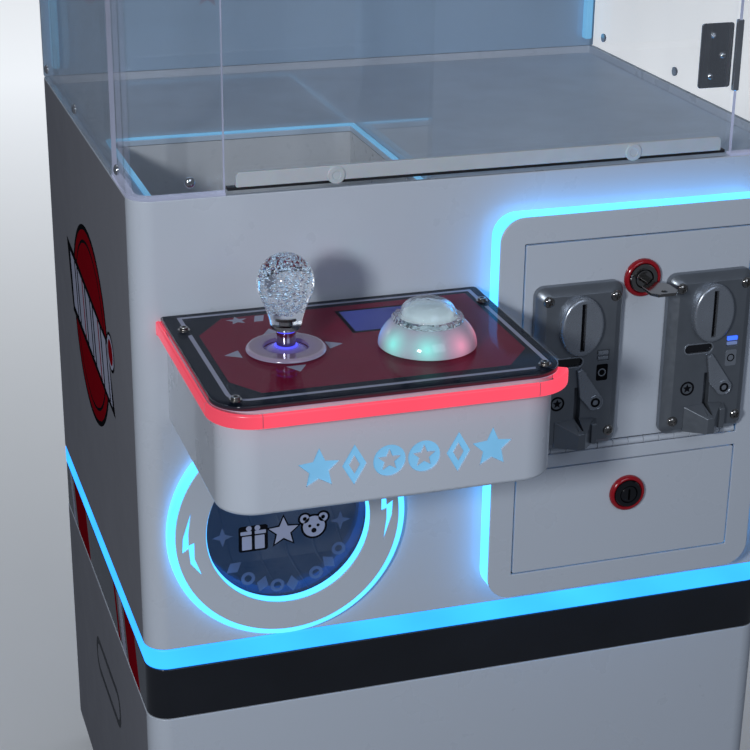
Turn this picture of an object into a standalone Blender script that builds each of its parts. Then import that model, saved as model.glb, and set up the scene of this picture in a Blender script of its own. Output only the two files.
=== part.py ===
"""Claw crane machine, table-width cabinet with a console, as separate solids.

Metres, +Z up. The origin is on the floor, under the middle of the machine.
-Y is the player's side. Places on the machine are stated from three datums:
LEFT (the cabinet's left side), FRONT (the front skin) and GLASS (the height of
the line where the white front panel ends and the glass cabin begins).
"""

from math import cos, pi, radians, sin, tau

import bmesh
import bpy
from mathutils import Matrix, Vector

# --- driving dimensions ------------------------------------------------------
WIDTH = 0.480
DEPTH = 0.370
CONSOLE_REACH = 0.167  # how far the console's light band stands in front of the skin
GLASS = 0.620
GAP = 0.0003  # between pieces that touch
WALL = 0.004
CORNER = 0.016  # vertical corner radius of the cabinet

LEFT = -WIDTH / 2
FRONT = -(DEPTH - CONSOLE_REACH) / 2
BACK = FRONT + DEPTH

# Bottom to top: feet, white base, black skirt, light band, white cabinet, glass, canopy.
FOOT_TOP = 0.030
SKIRT = (GLASS - 0.378, GLASS - 0.338)
BAND_TOP = GLASS - 0.322
CABIN_TOP = GLASS + 0.615
CANOPY_TOP = GLASS + 0.790

# Raised plate that frames the two doors on the right of the front.
PLATE_X = (0.2428, 0.4490)
PLATE_Z = (-0.3095, -0.0255)
PLATE_PROUD = 0.019
PLATE_THICK = 0.002
DOOR_X = (0.2613, 0.4300)
COIN_DOOR_Z = (-0.1940, -0.0449)
CASH_Z = (-0.2905, -0.2115)
DOOR_THICK = 0.003
HINGE_Y, HINGE_Z, HINGE_R = -0.0172, -0.1978, 0.0026
ACCEPTOR_CENTRES = (0.2995, 0.3983)
ACCEPTOR_HALF = 0.0322
ACCEPTOR_Z = (-0.1930, -0.0740)
ACCEPTOR_PROUD = 0.010
PROW_PROUD = 0.0112  # a solid prow under each coin slot, pointed in plan
PROW_Z = (-0.1900, -0.1735)
SLOT_HALF = 0.0016
LEVER_PIVOT, LEVER_END, LEVER_END_R = (-0.0025, -0.1350), (0.0122, -0.1582), 0.0060
COIN_LOCK = (0.3474, -0.0747)
CASH_LOCK = (0.3470, -0.2375)

# Console with stick and button.
CONSOLE_X = (0.0208, 0.2330)
CONSOLE_Z = (-0.1505, -0.0793)
CONSOLE_FRONT = -0.152
SLAB_X = (0.0165, 0.2325)
SLAB_Y = (-0.1605, -0.0010)
SLAB_Z = (-0.0790, -0.0740)
STICK = (0.0776, -0.0844)
PIVOT_Z = -0.0965
BALL_R = 0.0262
BALL_HOLE_R = 0.0134
BUTTON = (0.1636, -0.0993)

# Prize outlet: a round plate, its glowing rim and a flap hung behind the skin.
OUTLET = (0.0995, -0.2350)
OUTLET_R = 0.058
OUTLET_PLATE_R = 0.079
OUTLET_RIM_R = 0.084
FLAP_R = 0.064
FLAP_HINGE_Z = OUTLET[1] + 0.0624

# Chute and crane.
CHUTE_X = (0.0165, 0.2005)
CHUTE_Y = (0.0043, 0.176)
CHUTE_WALL = 0.003
CLAW = (0.1085, 0.092)  # home place of the claw, over the chute
RAIL_Z = (0.618, 0.632)
BRIDGE_Z = (0.6324, 0.648)
HUB_Z = (0.470, 0.540)
FINGER_PIVOT_R = 0.024
FINGER_PIVOT_Z = 0.464
FINGERS = 3

WHITE = (0.60, 0.62, 0.66)
DARK = (0.02, 0.02, 0.025)
CYAN = (0.10, 0.80, 1.00)
PINK = (0.90, 0.25, 0.32)
CHROME = (0.80, 0.81, 0.83)
SILVER = (0.55, 0.56, 0.58)
CLEAR = (0.85, 0.92, 0.95)
RED = (0.55, 0.03, 0.05)
CRIMSON = (0.35, 0.03, 0.07)
NAVY = (0.03, 0.05, 0.09)


# --- helpers -----------------------------------------------------------------
def world(x, y, z):
    """A point stated from the left side, the front skin and the glass line."""
    return Vector((LEFT + x, FRONT + y, GLASS + z))


def material(name, colour, roughness=0.4, metallic=0.0):
    made = bpy.data.materials.new(name)
    made.use_nodes = True
    shader = made.node_tree.nodes["Principled BSDF"]
    shader.inputs["Base Color"].default_value = (*colour, 1.0)
    shader.inputs["Roughness"].default_value = roughness
    shader.inputs["Metallic"].default_value = metallic
    return made


def new_object(name, mesh_maker, finish, at=(0, 0, 0)):
    """An object whose origin is at `at`; mesh_maker fills a bmesh in world places."""
    shape = bmesh.new()
    mesh_maker(shape)
    bmesh.ops.recalc_face_normals(shape, faces=shape.faces)
    bmesh.ops.translate(shape, verts=shape.verts, vec=-Vector(at))
    mesh = bpy.data.meshes.new(name)
    shape.to_mesh(mesh)
    shape.free()
    made = bpy.data.objects.new(name, mesh)
    made.location = at
    bpy.context.scene.collection.objects.link(made)
    colour, roughness, metallic = finish
    mesh.materials.append(material(name, colour, roughness, metallic))
    return made


def arc(centre, radius, start, stop, steps):
    """Points of an arc, angles in degrees."""
    angles = [radians(start + (stop - start) * i / steps) for i in range(steps + 1)]
    return [(centre[0] + radius * cos(a), centre[1] + radius * sin(a)) for a in angles]


def circle(centre, radius, steps):
    return arc(centre, radius, 0, 360 * (steps - 1) / steps, steps - 1)


def rounded(xs, ys, front_r, back_r=0.0, steps=4):
    """A rectangle, counter-clockwise, whose front and back corners have radii."""
    (x0, x1), (y0, y1) = xs, ys
    corners = (
        (x0, y0, front_r, 1, 1, 180),
        (x1, y0, front_r, -1, 1, 270),
        (x1, y1, back_r, -1, -1, 0),
        (x0, y1, back_r, 1, -1, 90),
    )
    points = []
    for x, y, r, dx, dy, start in corners:
        if r:
            points += arc((x + dx * r, y + dy * r), r, start, start + 90, steps)
        else:
            points.append((x, y))
    return points


def shrunk(pair, by):
    return (pair[0] + by, pair[1] - by)


def lay(outline, depth, axis):
    """Puts a 2-D outline in space, with the given coordinate along the axis."""
    place = {
        "X": lambda a, b: world(depth, a, b),
        "Y": lambda a, b: world(a, depth, b),
        "Z": lambda a, b: world(a, b, depth),
    }[axis]
    return [place(a, b) for a, b in outline]


def add_prism(shape, outline, low, high, axis="Z"):
    bottom = [shape.verts.new(p) for p in lay(outline, low, axis)]
    top = [shape.verts.new(p) for p in lay(outline, high, axis)]
    shape.faces.new(bottom[::-1])
    shape.faces.new(top)
    count = len(outline)
    for i in range(count):
        j = (i + 1) % count
        shape.faces.new((bottom[i], bottom[j], top[j], top[i]))


def prism(name, outline, low, high, finish, axis="Z", at=(0, 0, 0)):
    return new_object(name, lambda s: add_prism(s, outline, low, high, axis), finish, at)


def box(name, xs, ys, zs, finish, at=(0, 0, 0)):
    return prism(name, rounded(xs, ys, 0), zs[0], zs[1], finish, "Z", at)


def turned(name, profile, centre, finish, axis="Z", steps=24, at=(0, 0, 0)):
    """A profile of (radius, place along the axis) spun round a line at centre.

    A profile that starts and ends at radius 0 is solid; any other is a ring.
    """

    def fill(shape):
        rings = []
        for radius, along in profile:
            if radius == 0:
                rings.append([shape.verts.new(lay([centre], along, axis)[0])])
            else:
                points = lay(circle(centre, radius, steps), along, axis)
                rings.append([shape.verts.new(p) for p in points])
        solid = profile[0][0] == 0
        pairs = list(zip(rings, rings[1:])) if solid else list(zip(rings, rings[1:] + rings[:1]))
        for lower, upper in pairs:
            for i in range(steps):
                j = (i + 1) % steps
                if len(lower) == 1:
                    shape.faces.new((lower[0], upper[i], upper[j]))
                elif len(upper) == 1:
                    shape.faces.new((lower[i], upper[0], lower[j]))
                else:
                    shape.faces.new((lower[i], upper[i], upper[j], lower[j]))

    made = new_object(name, fill, finish, at)
    made.data.shade_smooth()
    made.data.set_sharp_from_angle(angle=radians(40))
    return made


def combine(target, cutter, operation):
    """Applies a cutter or an added shape, which stays in the scene as a hidden guide."""
    cutter.hide_render = True
    cutter.display_type = "WIRE"
    step = target.modifiers.new(cutter.name, "BOOLEAN")
    step.operation = operation
    step.solver = "EXACT"
    step.object = cutter


def cut(target, cutter):
    combine(target, cutter, "DIFFERENCE")


def join(target, added):
    combine(target, added, "UNION")


GUIDE = (DARK, 0.5, 0.0)


def cut_box(target, xs, ys, zs):
    cut(target, box(f"cut_{target.name}_{len(target.modifiers)}", xs, ys, zs, GUIDE))


def cut_round(target, centre, radius, low, high, axis="Y", steps=32):
    name = f"cut_{target.name}_{len(target.modifiers)}"
    cut(target, prism(name, circle(centre, radius, steps), low, high, GUIDE, axis))


def join_box(target, xs, ys, zs):
    join(target, box(f"add_{target.name}_{len(target.modifiers)}", xs, ys, zs, GUIDE))


CABINET_X = (0.0, WIDTH)
CABINET_Y = (0.0, DEPTH)


def cabinet_outline(inset=0.0):
    return rounded(
        shrunk(CABINET_X, inset), shrunk(CABINET_Y, inset), CORNER - inset, 0.006 - inset
    )


def tube(name, zs, finish, open_end=0.0):
    """A ring of the cabinet's outline; open_end adds a floor (+) or a lid (-) of WALL."""
    made = prism(name, cabinet_outline(), *zs, finish)
    low = zs[0] + WALL if open_end > 0 else zs[0] - 0.01
    high = zs[1] - WALL if open_end < 0 else zs[1] + 0.01
    cut(made, prism(f"cut_{name}_hollow", cabinet_outline(WALL), low, high, GUIDE))
    return made


# --- lower cabinet -----------------------------------------------------------
PAINT = (WHITE, 0.30, 0.0)
GLOW = (CYAN, 0.35, 0.0)


def make_feet():
    inset = 0.045
    corners = (
        ("front_left", inset, inset),
        ("front_right", WIDTH - inset, inset),
        ("back_left", inset, DEPTH - inset),
        ("back_right", WIDTH - inset, DEPTH - inset),
    )
    top = FOOT_TOP - GLASS - GAP
    for name, x, y in corners:
        profile = ((0, -GLASS), (0.020, -GLASS), (0.016, -GLASS + 0.012), (0.007, -GLASS + 0.016))
        profile += ((0.007, top), (0, top))
        turned(f"foot_{name}", profile, (x, y), (DARK, 0.7, 0.0), steps=16)


INLET_X = (0.396, 0.428)
INLET_Z = (-0.545, -0.521)


def make_base():
    base = tube("base_cabinet", (FOOT_TOP - GLASS, SKIRT[0] - GLASS - GAP), PAINT, open_end=1)
    cut_box(base, INLET_X, (DEPTH - 0.01, DEPTH + 0.01), INLET_Z)
    xs, zs = shrunk(INLET_X, GAP), shrunk(INLET_Z, GAP)
    inlet = box("power_inlet", xs, (DEPTH - 0.028, DEPTH - 0.001), zs, (DARK, 0.5, 0.0))
    cut_box(inlet, shrunk(xs, 0.0035), (DEPTH - 0.018, DEPTH + 0.01), shrunk(zs, 0.0035))
    tube("skirt_band", (SKIRT[0] - GLASS, SKIRT[1] - GLASS - GAP), (DARK, 0.35, 0.0))
    tube("floor_light_band", (SKIRT[1] - GLASS, BAND_TOP - GLASS - GAP), GLOW)


SERVICE_X = (0.060, 0.420)
SERVICE_Z = (-0.290, -0.060)
DOOR_CLEARANCE = 0.0015


def make_cabinet():
    shell = tube("cabinet_shell", (BAND_TOP - GLASS, 0.0), PAINT)
    cut_round(shell, OUTLET, OUTLET_R + 0.002, -0.01, 0.01)
    cut_box(shell, (0.256, 0.436), (-0.01, 0.01), (-0.300, -0.038))
    cut_box(shell, SERVICE_X, (DEPTH - 0.01, DEPTH + 0.01), SERVICE_Z)
    hinge = world(SERVICE_X[0] + DOOR_CLEARANCE, DEPTH, sum(SERVICE_Z) / 2)
    box(
        "service_door",
        shrunk(SERVICE_X, DOOR_CLEARANCE),
        (DEPTH - WALL, DEPTH),
        shrunk(SERVICE_Z, DOOR_CLEARANCE),
        PAINT,
        at=hinge,
    )


def make_playfield():
    deck_z = (-0.010, -0.006)
    inner = rounded(
        shrunk(CABINET_X, WALL + GAP), shrunk(CABINET_Y, WALL + GAP), CORNER - WALL - GAP, 0.0015
    )
    deck = prism("playfield_deck", inner, *deck_z, (WHITE, 0.35, 0.0))
    cut_box(deck, shrunk(CHUTE_X, CHUTE_WALL), (0.012, CHUTE_Y[1] - CHUTE_WALL), (-0.02, 0.01))

    chute_z = (-0.306, deck_z[0] - GAP)
    chute = box("prize_chute", CHUTE_X, CHUTE_Y, chute_z, (WHITE, 0.4, 0.0))
    inner_y = shrunk(CHUTE_Y, CHUTE_WALL)
    floor = (inner_y[0], -0.300), (0.070, -0.300), (inner_y[1], -0.245)
    hollow = (*floor, (inner_y[1], 0.0), (inner_y[0], 0.0))
    inner_x = shrunk(CHUTE_X, CHUTE_WALL)
    cut(chute, prism("cut_prize_chute_hollow", hollow, *inner_x, GUIDE, "X"))
    cut_round(chute, OUTLET, FLAP_R + 0.001, 0.0, 0.02)

    thick = 0.003
    x0, x1 = CHUTE_X[0], CHUTE_X[1] + 0.001
    y0, y1 = 0.014, CHUTE_Y[1] + 0.002
    ell = ((x1, y0), (x1 + thick, y0), (x1 + thick, y1 + thick), (x0, y1 + thick), (x0, y1), (x1, y1))
    prism("chute_guard", ell, deck_z[1] + GAP, 0.140, (CLEAR, 0.05, 0.0))


# --- prize outlet ------------------------------------------------------------
def bolt_outline(side):
    """A long lightning bolt bent round the outlet, on its left (-1) or right (+1).

    Each point is an angle from the bolt's middle, in degrees, and a radius.
    """
    points = (-20.3, 0.0708), (-5.0, 0.0739), (3.5, 0.0752), (1.5, 0.0704), (11.0, 0.0714)
    points += (20.3, 0.0676), (9.0, 0.0680), (-1.5, 0.0663), (-0.5, 0.0702), (-7.0, 0.0702)
    middle = 184 if side < 0 else 4
    turns = [(radians(middle + angle), r) for angle, r in points]
    return [(OUTLET[0] + r * cos(a), OUTLET[1] + r * sin(a)) for a, r in turns]


def make_outlet():
    def ring(name, inner, outer, back, face, finish):
        profile = ((inner, back), (outer, back), (outer, face), (inner, face))
        return turned(name, profile, OUTLET, finish, "Y", steps=40)

    seat = -0.0062
    white = (WHITE, 0.35, 0.0)
    plate = ring("prize_ring_plate", OUTLET_R, OUTLET_PLATE_R, seat - GAP, -0.008, white)
    for side in (-1, 1):
        guide = prism(f"cut_bolt_{side}", bolt_outline(side), -0.02, 0.01, GUIDE, "Y")
        cut(plate, guide)
    ring("prize_ring_light", OUTLET_R - 0.001, OUTLET_RIM_R, -GAP, seat, GLOW)

    trim = FLAP_HINGE_Z - 0.0004
    disc = [(x, min(z, trim)) for x, z in circle(OUTLET, FLAP_R, 40)]
    low_ends = [p for i, p in enumerate(disc) if p[1] < trim or disc[i - 1][1] < trim]
    ys = (0.0046, 0.0076)
    hinge = world(OUTLET[0], sum(ys) / 2, FLAP_HINGE_Z)
    prism("prize_door", low_ends, *ys, (NAVY, 0.1, 0.0), "Y", at=hinge)


# --- door plate --------------------------------------------------------------
def make_plate():
    outline = rounded(PLATE_X, PLATE_Z, 0.017, 0.017)
    back = -PLATE_PROUD + PLATE_THICK
    plate = prism("door_frame_plate", outline, -PLATE_PROUD, back, PAINT, "Y")
    for zs in ((HINGE_Z - 0.0042, COIN_DOOR_Z[1] + 0.001), (CASH_Z[0] - 0.001, CASH_Z[1] + 0.001)):
        cut_box(plate, (DOOR_X[0] - 0.001, DOOR_X[1] + 0.001), (-0.03, 0.0), zs)

    band_y = (back + GAP, -GAP)
    band = prism("plate_light_band", outline, *band_y, GLOW, "Y")
    inner = rounded(shrunk(PLATE_X, 0.006), shrunk(PLATE_Z, 0.006), 0.011, 0.011)
    cut(band, prism("cut_plate_light_band", inner, -0.03, 0.01, GUIDE, "Y"))

    xs = (DOOR_X[0] + 0.0005, DOOR_X[1] - 0.0005)
    barrel = circle((HINGE_Y, HINGE_Z), HINGE_R, 12)
    prism("coin_door_hinge", barrel, *xs, (CHROME, 0.3, 1.0), "X")


def door_axis():
    return world(sum(DOOR_X) / 2, HINGE_Y, HINGE_Z)


ACCEPTOR_BODY = (0.0255, -0.186, -0.086, 0.038)  # half width, bottom, top, back


def make_coin_door():
    front = -PLATE_PROUD
    door = box("coin_door", DOOR_X, (front, front + DOOR_THICK), COIN_DOOR_Z, PAINT, door_axis())
    half, low, high, _ = ACCEPTOR_BODY
    for x in ACCEPTOR_CENTRES:
        cut_box(door, (x - half - 0.0005, x + half + 0.0005), (-0.04, 0.0), (low - 0.0005, high + 0.0005))
    cut_round(door, COIN_LOCK, 0.0095, -0.04, 0.0, steps=24)


def make_acceptor(side, x):
    """Die-cast coin acceptor: face with dial, slot and return prow, and its body behind."""
    skin = -PLATE_PROUD - GAP
    face = skin - ACCEPTOR_PROUD
    half, low, high, back = ACCEPTOR_BODY
    xs = (x - ACCEPTOR_HALF, x + ACCEPTOR_HALF)
    outline = rounded(xs, ACCEPTOR_Z, 0.004, 0.004, steps=2)
    metal = (SILVER, 0.35, 1.0)
    made = prism(f"coin_acceptor_{side}", outline, face, skin, metal, "Y", door_axis())
    join_box(made, (x - half, x + half), (skin - 0.002, back), (low, high))
    dial = (x, -0.100)
    cap = prism(f"add_dial_{side}", circle(dial, 0.019, 24), face - 0.0015, face + 0.002, GUIDE, "Y")
    join(made, cap)
    cut_box(made, (x - 0.00125, x + 0.00125), (face - 0.01, face + 0.020), (-0.1155, -0.0845))
    tip = face - PROW_PROUD
    plan = ((x - 0.0175, face + 0.001), (x - 0.002, tip), (x + 0.002, tip), (x + 0.0115, face + 0.001))
    join(made, prism(f"add_prow_{side}", plan, *PROW_Z, GUIDE))
    cut_box(made, (x - SLOT_HALF, x + SLOT_HALF), (tip + 0.003, face + 0.012), (-0.1850, -0.1490))
    cut_box(made, (x - 0.0190, x + 0.0020), (face - 0.01, face + 0.003), (-0.1311, -0.1249))

    # The lever runs from its pivot, right and down, to a round end beside the prow.
    pivot_x, pivot_z = x + LEVER_PIVOT[0], LEVER_PIVOT[1]
    end = (x + LEVER_END[0], LEVER_END[1])
    lever = [(pivot_x - 0.0015, pivot_z - 0.0030), *arc(end, LEVER_END_R, 215, 395, 8)]
    lever.append((pivot_x + 0.0015, pivot_z + 0.0020))
    ys = (face - 0.0032, face - GAP)
    pivot = world(pivot_x, sum(ys) / 2, pivot_z)
    prism(f"return_lever_{side}", lever, *ys, (CHROME, 0.25, 1.0), "Y", at=pivot)


def make_lock(name, centre, holder_back, core_back, axis_at):
    """A round cam lock: fixed housing with a ring in front, and a core that carries the cam."""
    x, z = centre
    front = -PLATE_PROUD - GAP
    bore, barrel, ring = 0.0063, 0.0090, 0.0132
    profile = ((bore, holder_back), (barrel, holder_back), (barrel, front), (ring, front))
    profile += ((ring, front - 0.002), (ring - 0.002, front - 0.0035), (bore, front - 0.0035))
    turned(f"{name}_housing", profile, centre, (RED, 0.3, 0.0), "Y", steps=20, at=axis_at)
    at = world(x, front, z)
    tip = front - 0.0045
    core = turned(
        f"{name}_core", ((0, core_back), (0.006, core_back), (0.006, tip), (0, tip)), centre,
        (CHROME, 0.25, 1.0), "Y", steps=20, at=at,
    )
    cam_y = (core_back - 0.0025, core_back - 0.0002)
    reach, half = 0.034, 0.0045
    join_box(core, (x - half, x + reach), cam_y, (z - half, z + half))
    return at, tip


def make_coin_lock():
    x, z = COIN_LOCK
    at, tip = make_lock("coin_lock", COIN_LOCK, -0.006, -0.003, door_axis())
    stem_end, bow_end = tip - 0.012, tip - 0.034
    thick = (z - 0.0011, z + 0.0011)
    bow = ((x - 0.0035, tip - GAP), (x + 0.0035, tip - GAP), (x + 0.0035, stem_end))
    bow += ((x + 0.0100, stem_end - 0.003), (x + 0.0100, bow_end + 0.004), (x + 0.0070, bow_end))
    bow += ((x - 0.0070, bow_end), (x - 0.0100, bow_end + 0.004), (x - 0.0100, stem_end - 0.003))
    bow += ((x - 0.0035, stem_end),)
    prism("coin_lock_key", bow, *thick, (CHROME, 0.3, 1.0), "Z", at=at)


def make_cash_drawer():
    front = -PLATE_PROUD
    face = box("cash_drawer_front", DOOR_X, (front, front + DOOR_THICK), CASH_Z, PAINT)
    cut_round(face, CASH_LOCK, 0.0095, -0.04, 0.0, steps=24)
    tray = box("cash_drawer_tray", (0.266, 0.425), (-0.002, 0.140), (-0.287, -0.222), (DARK, 0.5, 0.0))
    cut_box(tray, (0.268, 0.423), (0.0, 0.138), (-0.285, -0.200))
    make_lock("cash_lock", CASH_LOCK, -0.0085, -0.0045, (0, 0, 0))


# --- console -----------------------------------------------------------------
def make_console():
    body_y = (CONSOLE_FRONT, -GAP)
    outline = rounded(CONSOLE_X, body_y, 0.023)
    body = prism("console_box", outline, *CONSOLE_Z, PAINT)
    inner = rounded(shrunk(CONSOLE_X, 0.003), shrunk(body_y, 0.003), 0.020)
    cut(body, prism("cut_console_box", inner, CONSOLE_Z[0] + 0.003, 0.0, GUIDE))

    band_x = (0.0140, 0.2385)
    band_z = (-0.0885, CONSOLE_Z[1])
    band = prism("console_light_band", rounded(band_x, (-CONSOLE_REACH, -GAP), 0.028), *band_z, (PINK, 0.4, 0.0))
    inside = rounded((CONSOLE_X[0] - GAP, CONSOLE_X[1] + GAP), (CONSOLE_FRONT - GAP, 0.01), 0.0233)
    cut(band, prism("cut_console_light_band", inside, -0.1, -0.07, GUIDE))

    slab = prism("console_panel", rounded(SLAB_X, SLAB_Y, 0.022, 0.003, 5), *SLAB_Z, (CRIMSON, 0.05, 0.0))
    cut_round(slab, STICK, 0.0202, -0.1, -0.07, "Z")
    cut_round(slab, BUTTON, 0.0150, -0.1, -0.07, "Z", 24)
    display_z = (SLAB_Z[0] - 0.008, SLAB_Z[0] - GAP)
    box("console_display", (0.124, 0.168), (-0.071, -0.029), display_z, (DARK, 0.2, 0.0))


def make_stick():
    """Stick on a ball centred on the pivot, so that the ball fills the hole at any tilt."""
    x, y = STICK
    pivot = world(x, y, PIVOT_Z)
    top = SLAB_Z[1] + GAP
    profile = ((BALL_HOLE_R, top), (0.0247, top), (0.0240, top + 0.0022), (BALL_HOLE_R, top + 0.0025))
    turned("joystick_escutcheon", profile, STICK, (CLEAR, 0.1, 0.0), steps=32)

    half, wall = 0.031, 0.003
    z_top = SLAB_Z[0] - GAP
    xs, ys = (x - half, x + half), (y - half, y + half)
    housing = box("joystick_housing", xs, ys, (-0.132, z_top), (DARK, 0.5, 0.0))
    cut_box(housing, shrunk(xs, wall), shrunk(ys, wall), (-0.132 + wall, 0.0))

    ring = ((0.020, PIVOT_Z - 0.004), (0.024, PIVOT_Z - 0.004), (0.024, PIVOT_Z + 0.004), (0.020, PIVOT_Z + 0.004))
    turned("joystick_gimbal", ring, STICK, (SILVER, 0.4, 1.0), steps=20, at=pivot)

    shaft_r, sleeve_r = 0.0045, 0.0055
    cap = [(BALL_R * sin(radians(a)), PIVOT_Z + BALL_R * cos(radians(a))) for a in (50, 42, 34, 26, 18)]
    under = (shaft_r, cap[0][1])
    profile = ((0, -0.125), (shaft_r, -0.125), under, *cap, (sleeve_r, -0.0708))
    profile += ((sleeve_r, -0.0600), (0, -0.0600))
    turned("joystick_shaft", profile, STICK, (CHROME, 0.1, 1.0), steps=24, at=pivot)

    # The clear knob: a collar, a waist and a round bulb on top.
    bulb, centre_z = 0.0175, -0.0305
    round_part = [(bulb * sin(radians(a)), centre_z + bulb * cos(radians(a))) for a in (110, 90, 70, 50, 30, 12)]
    profile = ((0, -0.0597), (0.0070, -0.0597), (0.0090, -0.0520), (0.0125, -0.0440), *round_part)
    turned("joystick_knob", (*profile, (0, centre_z + bulb)), STICK, (CLEAR, 0.03, 0.0), steps=24, at=pivot)


def make_button():
    top = SLAB_Z[1] + GAP
    dome = arc((0.0, top), 0.0300, 0, 26, 3)
    dome = [(r, z) for r, z in dome] + [(0.0250, top + 0.0155), (0.0213, top + 0.0170)]
    profile = ((0.0063, -0.118), (0.0140, -0.118), (0.0140, top), *dome, (0.0198, top + 0.0170))
    profile += ((0.0198, top + 0.0040), (0.0063, top + 0.0040))
    turned("button_housing", profile, BUTTON, (WHITE, 0.3, 0.0), steps=28)
    at = world(*BUTTON, top)
    crown = [(0.0190 * sin(radians(a)), -0.0563 + 0.0110 * cos(radians(a))) for a in (90, 65, 40, 18)]
    profile = ((0, -0.110), (0.0058, -0.110), (0.0058, -0.0660), (0.0190, -0.0660), *crown, (0, -0.0453))
    turned("button_plunger", profile, BUTTON, (CLEAR, 0.05, 0.0), steps=24, at=at)


# --- glass cabin -------------------------------------------------------------
GLASS_FINISH = (CLEAR, 0.03, 0.0)
FRONT_DOOR_X = (0.0625, 0.4175)
CORNER_LEG = 0.0615


def make_cabin():
    zs = (GAP, CABIN_TOP - GLASS - GAP)
    edge = 0.0005
    for side, mirror in (("left", False), ("right", True)):
        outer = arc((CORNER, CORNER), CORNER - edge, 180, 270, 5)
        inner = arc((CORNER, CORNER), CORNER - edge - WALL, 270, 180, 5)
        outline = [(edge, CORNER_LEG), *outer, (CORNER_LEG, edge)]
        outline += [(CORNER_LEG, edge + WALL), *inner, (edge + WALL, CORNER_LEG)]
        xs = (edge, edge + WALL)
        if mirror:
            outline = [(WIDTH - x, y) for x, y in outline[::-1]]
            xs = (WIDTH - edge - WALL, WIDTH - edge)
        prism(f"corner_glass_{side}", outline, *zs, GLASS_FINISH)
        box(f"side_glass_{side}", xs, (CORNER_LEG + 0.001, DEPTH - WALL - edge), zs, GLASS_FINISH)
    box("cabin_back_wall", shrunk(CABINET_X, edge), (DEPTH - WALL, DEPTH), zs, (WHITE, 0.2, 0.0))

    hinge = world(FRONT_DOOR_X[1] + 0.0005, 0.001, sum(zs) / 2)
    box("front_glass_door", FRONT_DOOR_X, (0.0050, 0.0090), (0.002, 0.612), GLASS_FINISH, hinge)
    strip = rounded((0.0690, 0.4110), (0.0044, 0.0142), 0.001, 0.0034, 3)
    prism("window_baffle", strip, 0.0013, 0.0047, (WHITE, 0.3, 0.0), "Y", at=hinge)


def make_canopy():
    canopy = tube("canopy_box", (CABIN_TOP - GLASS, CANOPY_TOP - GLASS), PAINT, open_end=-1)
    xs, zs = (0.030, 0.450), (0.645, 0.770)
    cut_box(canopy, xs, (-0.01, 0.01), zs)
    box("marquee_panel", shrunk(xs, GAP), (0.0005, 0.0035), shrunk(zs, GAP), (CRIMSON, 0.2, 0.0))


# --- crane -------------------------------------------------------------------
def make_gantry():
    for side, x in (("left", WALL + 0.0004), ("right", WIDTH - WALL - 0.0154)):
        box(f"gantry_rail_{side}", (x, x + 0.015), (0.018, 0.360), RAIL_Z, (SILVER, 0.3, 1.0))
    x, y = CLAW
    at = world(WIDTH / 2, y, sum(BRIDGE_Z) / 2)
    box("gantry_bridge", (0.006, WIDTH - 0.006), (y - 0.016, y + 0.016), BRIDGE_Z, (SILVER, 0.35, 1.0), at)
    at = world(x, y, sum(BRIDGE_Z) / 2)
    trolley = box("trolley", (x - 0.036, x + 0.036), (y - 0.026, y + 0.026), (0.598, 0.654), (DARK, 0.5, 0.0), at)
    clear = 0.0005
    ys = (y - 0.016 - clear, y + 0.016 + clear)
    cut_box(trolley, (x - 0.05, x + 0.05), ys, (BRIDGE_Z[0] - clear, BRIDGE_Z[1] + clear))


def make_claw():
    top = world(*CLAW, HUB_Z[1])
    low, high = HUB_Z
    profile = ((0, low - 0.014), (0.010, low - 0.014), (0.010, low), (0.020, low), (0.027, low + 0.008))
    profile += ((0.027, high - 0.010), (0.018, high), (0, high))
    turned("claw_hub", profile, CLAW, (CHROME, 0.25, 1.0), steps=20, at=top)
    cable = ((0, high + GAP), (0.003, high + GAP), (0.003, 0.598 - GAP), (0, 0.598 - GAP))
    turned("claw_cable", cable, CLAW, (DARK, 0.6, 0.0), steps=8, at=top)

    # One finger in the radial plane: down and out to an elbow, then in to the tip.
    half = 0.004
    outline = ((0.020, 0.468), (0.028, 0.468), (0.046, 0.424), (0.013, 0.368), (0.008, 0.370), (0.038, 0.425))
    x, y = CLAW
    for i in range(FINGERS):
        pivot_angle = tau * i / FINGERS - pi / 2
        turn = Matrix.Rotation(pivot_angle, 4, "Z")

        def fill(shape, turn=turn):
            for side in (-half, half):
                for r, z in outline:
                    shape.verts.new(world(x, y, z) + turn @ Vector((r, side, 0)))
            verts = list(shape.verts)
            count = len(outline)
            shape.faces.new(verts[:count])
            shape.faces.new(verts[count:][::-1])
            for a in range(count):
                b = (a + 1) % count
                shape.faces.new((verts[a], verts[b], verts[count + b], verts[count + a]))

        at = world(x, y, FINGER_PIVOT_Z) + turn @ Vector((FINGER_PIVOT_R, 0, 0))
        new_object(f"claw_finger_{i + 1}", fill, (CHROME, 0.2, 1.0), at)


def clear_scene():
    for old in list(bpy.data.objects):
        bpy.data.objects.remove(old, do_unlink=True)


def main():
    clear_scene()
    make_feet()
    make_base()
    make_cabinet()
    make_playfield()
    make_outlet()
    make_plate()
    make_coin_door()
    for side, x in zip(("left", "right"), ACCEPTOR_CENTRES):
        make_acceptor(side, x)
    make_coin_lock()
    make_cash_drawer()
    make_console()
    make_stick()
    make_button()
    make_cabin()
    make_canopy()
    make_gantry()
    make_claw()


main()
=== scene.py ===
"""Claw crane machine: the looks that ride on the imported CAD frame.

Shapes are written in millimetres from the CAD's own datums: x from the cabinet's
left side, y from its front skin (minus is towards the player) and z from the line
where the painted cabinet ends and the glass cabin begins.
"""
import random
from math import cos, hypot, radians, sin, tau

import bmesh
import bpy
from mathutils import Matrix, Vector


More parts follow.
